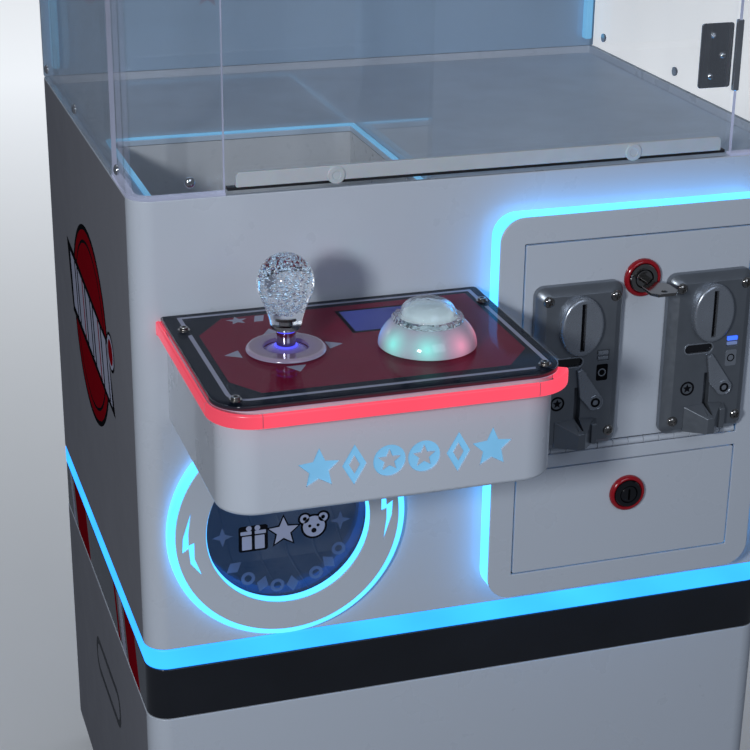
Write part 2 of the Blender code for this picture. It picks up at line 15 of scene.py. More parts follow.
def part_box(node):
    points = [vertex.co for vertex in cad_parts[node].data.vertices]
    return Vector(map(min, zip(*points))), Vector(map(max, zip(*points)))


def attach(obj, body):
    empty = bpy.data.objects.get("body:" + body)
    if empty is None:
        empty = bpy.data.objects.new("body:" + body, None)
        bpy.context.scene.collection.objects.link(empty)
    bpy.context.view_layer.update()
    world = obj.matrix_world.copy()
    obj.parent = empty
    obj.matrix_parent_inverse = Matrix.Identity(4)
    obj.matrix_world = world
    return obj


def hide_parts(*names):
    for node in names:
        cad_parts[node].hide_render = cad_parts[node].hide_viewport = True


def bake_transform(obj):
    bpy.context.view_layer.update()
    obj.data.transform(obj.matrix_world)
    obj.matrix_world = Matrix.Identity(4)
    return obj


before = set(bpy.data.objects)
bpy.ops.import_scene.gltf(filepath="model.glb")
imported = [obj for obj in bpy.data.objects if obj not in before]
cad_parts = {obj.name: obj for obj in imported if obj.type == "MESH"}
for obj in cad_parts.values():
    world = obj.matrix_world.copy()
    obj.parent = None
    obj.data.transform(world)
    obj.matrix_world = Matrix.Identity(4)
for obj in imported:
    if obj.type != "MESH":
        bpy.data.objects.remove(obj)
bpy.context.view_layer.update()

SCENE = bpy.context.scene
SHELL_LOW, SHELL_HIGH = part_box("cabinet_shell")
DATUM = Vector((SHELL_LOW.x, SHELL_LOW.y, SHELL_HIGH.z))
TO_WORLD = Matrix.Translation(DATUM) @ Matrix.Scale(0.001, 4)
WIDTH = (SHELL_HIGH.x - SHELL_LOW.x) * 1000
DEPTH = (SHELL_HIGH.y - SHELL_LOW.y) * 1000
GAP = 0.3


def span(node, axis):
    """Where a CAD node begins and ends along x, y or z, in the datums' millimetres."""
    low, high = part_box(node)
    i = "xyz".index(axis)
    return (low[i] - DATUM[i]) * 1000, (high[i] - DATUM[i]) * 1000


def spans(node):
    return [span(node, axis) for axis in "xyz"]


def middle(node, axes="xyz"):
    return tuple(sum(span(node, a)) / 2 for a in axes)


# --- outlines and shapes -----------------------------------------------------
def arc(centre, radius, start, stop, steps):
    """Points of an arc, angles in degrees."""
    angles = [radians(start + (stop - start) * i / steps) for i in range(steps + 1)]
    return [(centre[0] + radius * cos(a), centre[1] + radius * sin(a)) for a in angles]


def circle(centre, radius, steps=48):
    return arc(centre, radius, 0, 360 * (steps - 1) / steps, steps - 1)


def rounded(xs, ys, front_r, back_r=None, steps=8):
    """A rectangle, counter-clockwise, with radii at its low-y and high-y corners."""
    back_r = front_r if back_r is None else back_r
    (x0, x1), (y0, y1) = xs, ys
    corners = (x0, y0, front_r, 1, 1, 180), (x1, y0, front_r, -1, 1, 270)
    corners += (x1, y1, back_r, -1, -1, 0), (x0, y1, back_r, 1, -1, 90)
    points = []
    for x, y, r, dx, dy, start in corners:
        points += arc((x + dx * r, y + dy * r), r, start, start + 90, steps) if r else [(x, y)]
    return points


def shrunk(pair, by):
    return pair[0] + by, pair[1] - by


def about(centre, half):
    return centre - half, centre + half


def across(side, x):
    """The place that x on the cabinet's left side has on the given side."""
    return x if side == "left" else WIDTH - x


def place(a, b, depth, axis):
    return {"X": (depth, a, b), "Y": (a, depth, b), "Z": (a, b, depth)}[axis]


def bridged(shape, rings):
    """Faces between rings of vertices that have equally many, with all normals outwards."""
    for lower, upper in zip(rings, rings[1:]):
        count = len(lower)
        for i in range(count):
            j = (i + 1) % count
            shape.faces.new((lower[i], lower[j], upper[j], upper[i]))
    bmesh.ops.recalc_face_normals(shape, faces=shape.faces)


def loft(sections, axis="Z"):
    """A closed solid through (outline, depth) sections that have equally many points."""
    shape = bmesh.new()
    rings = [[shape.verts.new(place(a, b, d, axis)) for a, b in line] for line, d in sections]
    shape.faces.new(rings[0][::-1])
    shape.faces.new(rings[-1])
    bridged(shape, rings)
    return shape


def prism(outline, low, high, axis="Z"):
    return loft(((outline, low), (outline, high)), axis)


def block(xs, ys, zs, radius=0.0):
    return prism(rounded(xs, ys, radius), *zs)


def plate(outlines, low, high, axis="Y", bevel=0.0, segments=2):
    """An outline with holes, filled and thickened, its edges rounded by the bevel."""
    curve = bpy.data.curves.new("outline", "CURVE")
    curve.dimensions, curve.fill_mode = "2D", "BOTH"
    for points in outlines:
        spline = curve.splines.new("POLY")
        spline.points.add(len(points) - 1)
        for point, (a, b) in zip(spline.points, points):
            point.co = (a, b, 0, 1)
        spline.use_cyclic_u = True
    curve.extrude = (high - low) / 2 - bevel
    curve.bevel_depth, curve.offset, curve.bevel_resolution = bevel, -bevel, segments
    holder = bpy.data.objects.new("outline", curve)
    mesh = bpy.data.meshes.new_from_object(holder)
    shape = bmesh.new()
    shape.from_mesh(mesh)
    bpy.data.objects.remove(holder)
    bpy.data.curves.remove(curve)
    bpy.data.meshes.remove(mesh)
    bmesh.ops.remove_doubles(shape, verts=shape.verts, dist=0.002)
    for v in shape.verts:
        v.co = place(v.co.x, v.co.y, (low + high) / 2 + v.co.z, axis)
    bmesh.ops.recalc_face_normals(shape, faces=shape.faces)
    return shape


def lathe(profile, centre=(0, 0), axis="Z", steps=64):
    """(radius, place along the axis) points spun round a line; radius 0 closes an end."""
    shape = bmesh.new()
    rings = []
    for radius, along in profile:
        line = circle(centre, radius, steps) if radius else [centre]
        rings.append([shape.verts.new(place(a, b, along, axis)) for a, b in line])
    solid = profile[0][0] == 0
    for lower, upper in zip(rings, rings[1:] if solid else rings[1:] + rings[:1]):
        for i in range(steps):
            j = (i + 1) % steps
            corners = [lower[i % len(lower)], lower[j % len(lower)]]
            corners += [upper[j % len(upper)], upper[i % len(upper)]]
            shape.faces.new(list(dict.fromkeys(corners)))
    bmesh.ops.recalc_face_normals(shape, faces=shape.faces)
    return shape


def tube(inner, outer, low, high):
    """Profile of a plain tube for lathe, or of a cylinder where the inner radius is 0."""
    return [(inner, low), (outer, low), (outer, high), (inner, high)]


def rod(path, radius, steps=12):
    """A round rod along a path of points, closed at both ends."""
    points = [Vector(p) for p in path]
    shape = bmesh.new()
    rings = []
    side = None
    for i, here in enumerate(points):
        ahead = (points[min(i + 1, len(points) - 1)] - points[max(i - 1, 0)]).normalized()
        if side is None:
            side = ahead.orthogonal().normalized()
        side = (side - ahead * side.dot(ahead)).normalized()
        other = ahead.cross(side)
        turns = [tau * k / steps for k in range(steps)]
        rings.append([shape.verts.new(here + radius * (side * cos(t) + other * sin(t))) for t in turns])
    shape.faces.new(rings[0][::-1])
    shape.faces.new(rings[-1])
    bridged(shape, rings)
    return shape


def merged(*shapes):
    """Several shapes as one mesh of separate solids."""
    first = shapes[0]
    for other in shapes[1:]:
        mesh = bpy.data.meshes.new("temporary")
        other.to_mesh(mesh)
        other.free()
        first.from_mesh(mesh)
        bpy.data.meshes.remove(mesh)
    return first


def moved(shape, offset=(0, 0, 0), angle=0.0, axis="Z"):
    """Turned about an axis through the datum, then shifted."""
    shape.transform(Matrix.Translation(Vector(offset)) @ Matrix.Rotation(radians(angle), 4, axis))
    return shape


def combined(shape, other, operation):
    """An exact boolean of two shapes; both are used up."""
    holders = []
    for each in (shape, other):
        mesh = bpy.data.meshes.new("temporary")
        each.to_mesh(mesh)
        each.free()
        holders.append(bpy.data.objects.new("temporary", mesh))
        SCENE.collection.objects.link(holders[-1])
    step = holders[0].modifiers.new("step", "BOOLEAN")
    step.operation, step.solver, step.object = operation, "EXACT", holders[1]
    bpy.context.view_layer.update()
    result = bmesh.new()
    result.from_object(holders[0], bpy.context.evaluated_depsgraph_get())
    for holder in holders:
        mesh = holder.data
        bpy.data.objects.remove(holder)
        bpy.data.meshes.remove(mesh)
    bmesh.ops.remove_doubles(result, verts=result.verts, dist=0.002)
    return result


def less(shape, *cutters):
    for cutter in cutters:
        shape = combined(shape, cutter, "DIFFERENCE")
    return shape


def softened(shape, width, segments=2, angle=30):
    """Rounds every edge that is sharper than the angle."""
    bmesh.ops.dissolve_limit(shape, angle_limit=radians(0.5), verts=shape.verts, edges=shape.edges)
    edges = [e for e in shape.edges if e.is_manifold and e.calc_face_angle(0) > radians(angle)]
    bmesh.ops.bevel(
        shape, geom=edges, offset=width, segments=segments, profile=0.5,
        affect="EDGES", clamp_overlap=True,
    )
    return shape


def piece(name, shape, look, body="cabinet", replaces=(), angle=34, even=True):
    """Makes the object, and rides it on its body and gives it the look."""
    shape.transform(TO_WORLD)
    mesh = bpy.data.meshes.new(name)
    shape.to_mesh(mesh)
    shape.free()
    made = bpy.data.objects.new(name, mesh)
    SCENE.collection.objects.link(made)
    mesh.materials.append(look.material)
    mesh.shade_smooth()
    mesh.set_sharp_from_angle(angle=radians(angle))
    if even:
        step = made.modifiers.new("even_normals", "WEIGHTED_NORMAL")
        step.keep_sharp = True
    if body:
        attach(made, body)
    if replaces:
        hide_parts(*([replaces] if isinstance(replaces, str) else replaces))
    return made


# --- looks -------------------------------------------------------------------
class Look:
    """A Principled material with its texture nodes, placed by the object's own metres."""

    def __init__(self, name, slot, colour, roughness, inputs):
        self.slot = slot
        self.material = bpy.data.materials.new(name)
        self.material.use_nodes = True
        self.nodes = self.material.node_tree.nodes
        self.shader = self.nodes["Principled BSDF"]
        self.normal = None
        self.put(self.shader, {"Base Color": (*colour, 1), "Roughness": roughness, **(inputs or {})})
        self.where = self.node("TexCoord").outputs["Object"]

    def put(self, node, values):
        for key, value in values.items():
            if isinstance(value, bpy.types.NodeSocket):
                self.material.node_tree.links.new(value, node.inputs[key])
            else:
                node.inputs[key].default_value = value

    def node(self, kind, values=None, **settings):
        made = self.nodes.new("ShaderNode" + kind)
        for key, value in settings.items():
            setattr(made, key, value)
        self.put(made, values or {})
        return made

    def noise(self, scale, detail=3.0, stretch=(1, 1, 1), seed=0.0):
        values = {"Vector": self.where, "Scale": stretch, "Location": (seed, seed, seed)}
        mapped = self.node("Mapping", values).outputs[0]
        values = {"Vector": mapped, "Scale": scale, "Detail": detail}
        return self.node("TexNoise", values).outputs[0]

    def math(self, operation, a, b=0.0):
        return self.node("Math", {0: a, 1: b}, operation=operation).outputs[0]

    def ranged(self, value, low, high, out_low, out_high):
        values = {"Value": value, "From Min": low, "From Max": high}
        values |= {"To Min": out_low, "To Max": out_high}
        return self.node("MapRange", values).outputs[0]

    def mix(self, factor, a, b):
        a, b = [x if isinstance(x, bpy.types.NodeSocket) else (*x, 1) for x in (a, b)]
        return self.node("Mix", {0: factor, 6: a, 7: b}, data_type="RGBA").outputs[2]

    def axis(self, name):
        return self.node("SeparateXYZ", {0: self.where}).outputs[name]

    def paint(self, colour):
        self.put(self.shader, {"Base Color": colour})

    def bump(self, height, distance):
        values = {"Height": height, "Distance": distance, "Strength": 1.0}
        if self.normal:
            values["Normal"] = self.normal
        self.normal = self.node("Bump", values).outputs[0]
        self.put(self.shader, {"Normal": self.normal})


def shaded(colour, factor):
    return tuple(min(1.0, c * factor) for c in colour)


NOISE_RANGE = 0.3, 0.7  # most of a noise texture's values lie between these
BAND_PITCH = 0.1571  # metres between the bands of a wave texture of scale 1


def surface(name, slot, colour, roughness, inputs=None, shade=0.05, cloud=14.0, grain=900.0,
            relief=0.000015, stretch=(1, 1, 1)):
    """A finish with clouded colour and gloss and a fine grain, each at its own scale."""
    look = Look(name, slot, colour, roughness, inputs)
    tint = look.ranged(look.noise(cloud, 4, seed=len(name)), *NOISE_RANGE, 0, 1)
    look.paint(look.mix(tint, shaded(colour, 1 - shade), shaded(colour, 1 + shade)))
    gloss = look.noise(cloud * 7, 5, stretch, seed=2.0)
    look.put(look.shader, {"Roughness": look.ranged(gloss, *NOISE_RANGE, roughness * 0.85, roughness * 1.15)})
    look.bump(look.noise(grain, 2, stretch), relief)
    return look


def lit(name, slot, colour, glow, strength, roughness=0.35, uneven=0.12, spacing=None, body=0.3):
    """Acrylic lit from inside, a little uneven, with LED spots at a spacing in metres."""
    look = Look(name, slot, shaded(colour, body), roughness, {"Emission Color": (*glow, 1)})
    level = look.ranged(look.noise(16, 3), *NOISE_RANGE, 1 - uneven, 1 + uneven)
    if spacing:
        values = {"Vector": look.where, "Scale": BAND_PITCH / spacing, "Distortion": 0.4}
        wave = look.node("TexWave", values, wave_type="BANDS", bands_direction="DIAGONAL").outputs[1]
        level = look.math("MULTIPLY", level, look.ranged(wave, 0, 1, 1 - uneven, 1 + uneven))
    look.put(look.shader, {"Emission Strength": look.math("MULTIPLY", level, strength)})
    look.bump(look.noise(600, 2), 0.00001)
    return look


def pane(name, slot, tint, floor=0.05, roughness=0.02, smears=0.03, grazing=1.0):
    """A clear sheet: it reflects more the flatter it is seen, and lets the rest through."""
    look = Look(name, slot, tint, roughness, {"Metallic": 1.0})
    facing = look.node("LayerWeight", {"Blend": 0.5}).outputs["Facing"]
    mirror = look.ranged(look.math("POWER", facing, 5.0), 0, 1, floor, grazing)
    haze = look.ranged(look.noise(30, 5, (1, 1, 0.4)), 0.45, 0.8, 0, smears)
    look.put(look.shader, {"Alpha": look.math("ADD", mirror, haze)})
    look.put(look.shader, {"Roughness": look.ranged(look.noise(90, 3), 0.4, 0.8, roughness, roughness * 3)})
    return look


def glassy(name, colour, roughness, ior):
    return Look(name, "clear_acrylic", colour, roughness, {"Transmission Weight": 1.0, "IOR": ior})


def metal(name, slot, colour, roughness, brushed=None, relief=0.000012, grain=1500.0, inputs=None):
    stretch = {"X": (0.02, 1, 1), "Y": (1, 0.02, 1), "Z": (1, 1, 0.02), None: (1, 1, 1)}[brushed]
    values = {"Metallic": 1.0, **(inputs or {})}
    return surface(name, slot, colour, roughness, values, 0.06, 40.0, grain, relief, stretch)


def printed(name, colour):
    """A matt ink, for prints under the clear slab and films on the skin."""
    matt = {"Specular IOR Level": 0.0}
    return surface(name, "panel_print", colour, 0.35, matt, 0.04, 60, 1800, 0.000004)


COAT = {"Coat Weight": 0.5, "Coat Roughness": 0.07, "Specular IOR Level": 0.45}
PAINT = surface("powder_paint", "white_paint", (0.61, 0.65, 0.72), 0.30, COAT, 0.006, 5, 420, 0.00001)
SIDE_FILM = surface("side_film", "panel_print", (0.235, 0.232, 0.258), 0.34, {"IOR": 1.12},
                    0.06, 5, 500, 0.00001)
SKIRT = surface("skirt_black", "black_skirt", (0.012, 0.013, 0.017), 0.22, COAT, 0.2, 12, 500, 0.00002)
LED_SPACING = 0.02
CYAN = lit("led_cyan", "cyan_light", (0.1, 0.75, 1.0), (0.066, 0.40, 0.95), 2.6, 0.35, 0.06,
           LED_SPACING, 0.12)
CYAN_FLOOR = lit("led_cyan_floor", "cyan_light", (0.02, 0.3, 0.5), (0.020, 0.24, 0.80), 2.6, 0.5, 0.06,
                 LED_SPACING, 0.1)
CYAN_SOFT = lit("backlit_cyan", "cyan_light", (0.4, 0.8, 1.0), (0.12, 0.34, 0.58), 0.95, 0.5, 0.12)
PINK = lit("led_pink", "pink_light", (1.0, 0.3, 0.4), (1.0, 0.072, 0.125), 0.98, 0.28, 0.06, body=0.10)
PANE = pane("clear_pane", "clear_acrylic", (0.93, 0.97, 1.0))
SLAB_PANE = pane("slab_pane", "clear_acrylic", (0.95, 0.96, 1.0), 0.006, 0.010, 0.0005, 0.27)
SLAB_BODY = surface("slab_body", "clear_acrylic", (0.02, 0.02, 0.03), 0.06, COAT, 0.08, 40, 300, 0.000004)
SMOKE_PAINTED_GLOW = pane("smoked_pane_painted_glow", "tinted_acrylic", (0.03, 0.055, 0.13), 0.45, 0.03, 0.03)
# The flap's faint blue glow is painted light from the lit ring round the outlet; the flap is no lamp.
SMOKE_PAINTED_GLOW.put(SMOKE_PAINTED_GLOW.shader, {"Emission Color": (0.022, 0.058, 0.15, 1), "Emission Strength": 0.42})
# Acrylic edges and joints that glow: painted highlights, no lamps.
PAINTED_EDGE_HIGHLIGHT = lit("acrylic_edge_painted_highlight", "clear_acrylic", (0.6, 0.7, 0.9), (0.34, 0.36, 0.52), 0.6, 0.15, 0.3)
CRIMSON = printed("print_crimson", (0.205, 0.012, 0.040))
NAVY = printed("print_navy", (0.010, 0.014, 0.024))
LAVENDER = printed("print_lavender", (0.40, 0.41, 0.52))
INK = printed("print_ink", (0.008, 0.008, 0.010))
RED_INK = printed("print_red", (0.24, 0.004, 0.010))
DIM_INK = printed("print_dim", (0.10, 0.13, 0.21))
SCREEN = lit("lcd_glass", "panel_print", (0.1, 0.12, 0.30), (0.030, 0.040, 0.19), 0.8, 0.3, 0.45)
SCREEN.put(SCREEN.shader, {"Specular IOR Level": 0.0})
MILKY = {"Subsurface Weight": 0.6, "Subsurface Radius": (1, 1, 1), "Subsurface Scale": 0.004}
MILKY["Coat Weight"] = 0.6
SATIN = {"Metallic": 0.72}
CAST = metal("die_cast", "die_cast", (0.235, 0.255, 0.285), 0.36, None, 0.000003, 900, SATIN)
# A lighter copy of the die cast: a painted highlight for the dial, the lever, rims, labels and the dark
# lamps.
CAST_PAINTED_HIGHLIGHT = metal("die_cast_bevel", "die_cast", (0.40, 0.43, 0.48), 0.28, None, 0.000003, 900, SATIN)
# Chrome darkened as painted shade: it stands for the dark surroundings that the real chrome reflects.
CHROME_PAINTED_SHADE = metal("dark_chrome", "chrome", (0.34, 0.32, 0.30), 0.12, relief=0.000002)
LAMP_BLUE = lit("lamp_blue", "cyan_light", (0.1, 0.2, 1.0), (0.045, 0.15, 1.0), 1.3, 0.3)
LAMP_DIM = lit("lamp_dim", "cyan_light", (0.3, 0.35, 0.5), (0.10, 0.14, 0.28), 1.0, 0.3)
CHROME = metal("chrome", "chrome", (0.78, 0.79, 0.81), 0.07, relief=0.000004)
STEEL = metal("brushed_steel", "steel", (0.52, 0.53, 0.55), 0.28, "X")
STEEL_Z = metal("brushed_steel_z", "steel", (0.50, 0.51, 0.53), 0.26, "Z")
ALUMINIUM = metal("aluminium", "steel", (0.62, 0.63, 0.65), 0.30, "X")
RED = surface("red_plastic", "red_plastic", (0.34, 0.005, 0.012), 0.20, COAT, 0.08, 60, 1200)
BLACK = surface("black_plastic", "black_plastic", (0.014, 0.014, 0.017), 0.42, None, 0.2, 40, 1200, 0.00002)
GLOSS_BLACK = surface("gloss_black", "black_plastic", (0.006, 0.006, 0.008), 0.12, COAT, 0.2, 40, 1200)
RUBBER = surface("rubber", "rubber", (0.02, 0.02, 0.021), 0.75, None, 0.2, 50, 700, 0.00005)
PLASTIC = surface("white_plastic", "white_plastic", (0.60, 0.62, 0.65), 0.30, None, 0.03, 20, 800)


# --- small parts -------------------------------------------------------------
def star(centre, outer, inner, points=5, turn=90.0):
    spokes = [(outer if i % 2 == 0 else inner, radians(turn + 180 * i / points)) for i in range(2 * points)]
    return [(centre[0] + r * cos(a), centre[1] + r * sin(a)) for r, a in spokes]


def smooth_line(points, steps=6):
    """A rounder line through the given points."""
    padded = [points[0], *points, points[-1]]
    line = []
    for a, b, c, d in zip(padded, padded[1:], padded[2:], padded[3:]):
        for i in range(steps):
            t = i / steps
            line.append(tuple(
                0.5 * (2 * q + (r - p) * t + (2 * p - 5 * q + 4 * r - s) * t * t
                       + (3 * q - p - 3 * r + s) * t ** 3)
                for p, q, r, s in zip(a, b, c, d)
            ))
    return [*line, points[-1]]


SCREWS = {}


def screw(radius, kind="cross"):
    """A screw head on the plane y=0 that looks towards -y, made once per size."""
    if (radius, kind) not in SCREWS:
        if kind == "cross":
            high = radius * 0.55
            dome = [(radius * cos(radians(a)), -high * sin(radians(a)) - 0.3) for a in range(0, 90, 15)]
            head = lathe([(0, 0.6), (radius, 0.6), *dome, (0, -high - 0.3)], axis="Y", steps=32)
            arm, reach = radius * 0.13, radius * 0.56
            floor = (-high - 2, -high * 0.35 - 0.3)
            head = less(head, block((-arm, arm), floor, (-reach, reach)))
            head = less(head, block((-reach, reach), floor, (-arm, arm)))
        else:
            high = radius * 0.6
            rim = [(radius, -high + 0.5), (radius - 0.15, -high + 0.15), (radius - 0.5, -high)]
            head = lathe([(0, 0.6), (radius, 0.6), *rim, (0, -high)], axis="Y", steps=32)
            socket = prism(circle((0, 0), radius * 0.56, 6), -high - 1, -high * 0.3, "Y")
            head = less(head, socket)
        SCREWS[radius, kind] = head
    return SCREWS[radius, kind].copy()


FACING = {"front": (0, "Z"), "back": (180, "Z"), "left": (-90, "Z"), "right": (90, "Z"), "up": (-90, "X")}


def screws(name, places, radius, facing="front", body="cabinet", kind="cross", look=None, washer=0.0):
    """One piece of screws, each turned its own way, on washers if a radius is given."""
    heads = []
    for i, at in enumerate(places):
        head = moved(screw(radius, kind), angle=17 + 41 * i, axis="Y")
        if washer:
            disc = [(0, 0.2), (washer, 0.2), (washer, -0.3), (washer - 0.3, -0.6), (0, -0.6)]
            head = merged(moved(head, (0, -0.5, 0)), lathe(disc, axis="Y"))
        angle, axis = FACING[facing]
        heads.append(moved(moved(head, angle=angle, axis=axis), at))
    return piece(name, merged(*heads), look or CHROME, body)


# --- cabinet -----------------------------------------------------------------
SKIN = 0.12  # the painted skin stands this far inside the CAD's, so that films fit on it
CORNER = 16.0


def cabinet_outline(inset=SKIN):
    return rounded((inset, WIDTH - inset), (inset, DEPTH - inset), CORNER - inset, max(6 - inset, 0.5), 12)


def cabinet_tube(low, high, inset=SKIN, wall=4.0, bevel=0.7):
    return plate([cabinet_outline(inset), cabinet_outline(wall)], low, high, "Z", bevel)


OUTLET = OUTLET_X, OUTLET_Z = middle("prize_ring_light", "xz")
PLATE_X, PLATE_Z = span("door_frame_plate", "x"), span("door_frame_plate", "z")
PLATE_Y = span("door_frame_plate", "y")


def cut_front_openings(shape):
    shape = less(shape, prism(circle(OUTLET, 60, 96), -5, 6, "Y"))
    return less(shape, block(shrunk(PLATE_X, 13.2), (-5, 6), shrunk(PLATE_Z, 9.5)))


def make_cabinet():
    """Thin walls, open to the inside: cabinet, base with its floor, skirt and lit band."""
    low, high = span("cabinet_shell", "z")
    shell = cut_front_openings(cabinet_tube(low, high))
    door_x, door_z = span("service_door", "x"), span("service_door", "z")
    cut = block(shrunk(door_x, -1.5), (DEPTH - 8, DEPTH + 2), shrunk(door_z, -1.5))
    piece("cabinet_skin", less(shell, cut), PAINT, replaces="cabinet_shell")

    low, high = span("base_cabinet", "z")
    base = cabinet_tube(low, high)
    inlet = [shrunk(span("power_inlet", a), -0.3) for a in "xz"]
    base = less(base, block(inlet[0], (DEPTH - 8, DEPTH + 2), inlet[1]))
    floor = plate([cabinet_outline(4.1)], low + 0.2, low + 4, "Z", 0.5)
    piece("base_skin", merged(base, floor), PAINT, replaces="base_cabinet")

    low, high = span("skirt_band", "z")
    piece("skirt_strip", cabinet_tube(low, high, 0.5), SKIRT, replaces="skirt_band")
    low, high = span("floor_light_band", "z")
    band = cabinet_tube(low, high, 0.3, 5.0, 1.6)
    piece("floor_light_tube", band, CYAN_FLOOR, replaces="floor_light_band")


def side_film(outline, level, look, name, side="left"):
    """A thin printed film on a side of the cabinet, laid over the ones below it."""
    out = SKIN - 0.04 * level
    low, high = sorted((across(side, out - 0.035), across(side, out + 0.02)))
    piece(name, plate([outline], low, high, "X"), look, even=False)


def clipped(outline, keep):
    """The part of a convex outline where keep(point) is at least 0, found by walking its edges."""
    line = []
    for a, b in zip(outline, outline[1:] + outline[:1]):
        ka, kb = keep(a), keep(b)
        if ka >= 0:
            line.append(a)
        if (ka >= 0) != (kb >= 0):
            t = ka / (ka - kb)
            line.append((a[0] + (b[0] - a[0]) * t, a[1] + (b[1] - a[1]) * t))
    return line


SIDES = "left", "right"
FILMS = ("cabinet", -321.2, -0.9), ("base", span("base_cabinet", "z")[0] + 0.9, -379.2)
EMBLEM = DEPTH / 2 - 1, -147.0
EMBLEM_RINGS = (75.5, INK, "rim"), (71.5, RED_INK, "ring"), (64.0, INK, "line"), (61.5, RED_INK, "disc")
BAND = (-94, -24), (-72, 25), (98, 27), (82, -27)
BALL_RINGS = (14, INK), (12, LAVENDER), (9, RED_INK)
SLASH_LOW, SLASH_HIGH, SLASH_LEAN = -377.6, -338.6, 16
SLASHES = (
    (40, 42, RED_INK), (92, 14, LAVENDER), (116, 8, RED_INK), (250, 60, RED_INK), (322, 10, LAVENDER),
)


def make_side_films():
    """Dark films over both sides of the cabinet and of the base."""
    for side in SIDES:
        for part, low, high in FILMS:
            sheet = rounded((CORNER - 0.5, DEPTH - 6), (low, high), 0.5)
            side_film(sheet, 0, SIDE_FILM, f"{side}_panel_{part}", side)


def make_side_graphics():
    """A round emblem of rings with a slanted band of blocks, and the skirt's slashes."""
    for side, mirror in zip(SIDES, (1, -1)):
        for level, (radius, look, part) in enumerate(EMBLEM_RINGS, 1):
            side_film(circle(EMBLEM, radius, 96), level, look, f"{side}_emblem_{part}", side)

        def tilted(points):
            return [(EMBLEM[0] + a * mirror, EMBLEM[1] + b + a * 0.13) for a, b in points]

        # Five plain slanted blocks run across the disc, with a small ball at the band's front end.
        side_film(tilted(BAND), 5, INK, f"{side}_band", side)
        for i in range(5):
            start = -76 + 33 * i
            slab = tilted([(start - 9, -20), (start + 19, -20), (start + 28, 21), (start, 21)])
            side_film(slab, 6, LAVENDER, f"{side}_band_block_{i + 1}", side)
            slit = tilted([(start - 3, -20), (start + 1, -20), (start + 10, 21), (start + 6, 21)])
            side_film(slit, 7, RED_INK if i % 2 else INK, f"{side}_band_slit_{i + 1}", side)
        for i, (radius, look) in enumerate(BALL_RINGS, 1):
            ball = tilted([(-86 + a, 22 + b) for a, b in circle((0, 0), radius, 40)])
            side_film(ball, 5 + i, look, f"{side}_ball_{i}", side)
        for i, (start, wide, look) in enumerate(SLASHES, 1):
            slash = (start, SLASH_LOW), (start + wide, SLASH_LOW)
            slash += (start + wide + SLASH_LEAN, SLASH_HIGH), (start + SLASH_LEAN, SLASH_HIGH)
            xs = sorted((across(side, 0.42), across(side, 0.52)))
            piece(f"{side}_slash_{i}", plate([slash], *xs, "X"), look, even=False)


# --- prize outlet ------------------------------------------------------------
def bolt_outline(side):
    """A long lightning bolt bent round the outlet: an angle from its middle, a radius."""
    points = (-20.3, 70.8), (-5.0, 73.9), (3.5, 75.2), (1.5, 70.4), (11.0, 71.4)
    points += (20.3, 67.6), (9.0, 68.0), (-1.5, 66.3), (-0.5, 70.2), (-7.0, 70.2)
    centre = 184 if side < 0 else 4
    turns = [(radians(centre + angle), r) for angle, r in points]
    return [(OUTLET_X + r * cos(a), OUTLET_Z + r * sin(a)) for a, r in turns]


def make_outlet():
    """A painted ring with two lightning bolts cut in it, in front of a lit disc."""
    front, back = span("prize_ring_plate", "y")
    holes = [circle(OUTLET, 58, 96), bolt_outline(-1), bolt_outline(1)]
    face = plate([circle(OUTLET, 79, 128), *holes], front, back, "Y", 0.35)
    piece("prize_ring_face", face, PAINT, replaces="prize_ring_plate")
    front, back = span("prize_ring_light", "y")
    profile = (57.2, back), (84, back), (84, front + 1.4), (83.6, front + 0.5)
    profile += (82.6, front), (57.6, front), (57.2, front + 0.4)
    piece("prize_ring_glow", lathe(profile, OUTLET, "Y", 128), CYAN, replaces="prize_ring_light")


FLAP_Y = span("prize_door", "y")
FLAP_TRIM = span("prize_door", "z")[1]
GIFT, STAR, BEAR = (77.2, -247.0), (98.8, -244.6), (120.6, -243.6)
SPARKS = (55.5, -243.0), (139.7, -241.5)
ARCH_ANGLES = 216, 234, 249, 263, 277, 300, 315, 330


def make_flap():
    """The tinted flap with a faint painted glow, cut off level below its hinge pin."""
    disc = clipped(circle(OUTLET, 63, 96), lambda p: FLAP_TRIM - p[1])
    piece("prize_flap", plate([disc], *FLAP_Y, "Y", 0.6), SMOKE_PAINTED_GLOW, "prize_door", "prize_door")
    make_flap_print()
    axis_y, axis_z, chord = sum(FLAP_Y) / 2, FLAP_TRIM + 0.4, 50
    pin = rod([(OUTLET_X - chord, axis_y, axis_z), (OUTLET_X + chord, axis_y, axis_z)], 1.1)
    piece("prize_flap_pin", pin, STEEL, "prize_door")
    eye = lathe(tube(1.6, 2.6, -2, 2), axis="X", steps=24)
    eyes = [moved(eye.copy(), (OUTLET_X + way * (chord - 1), axis_y, axis_z)) for way in (-1, 1)]
    piece("prize_flap_knuckles", merged(*eyes), BLACK)


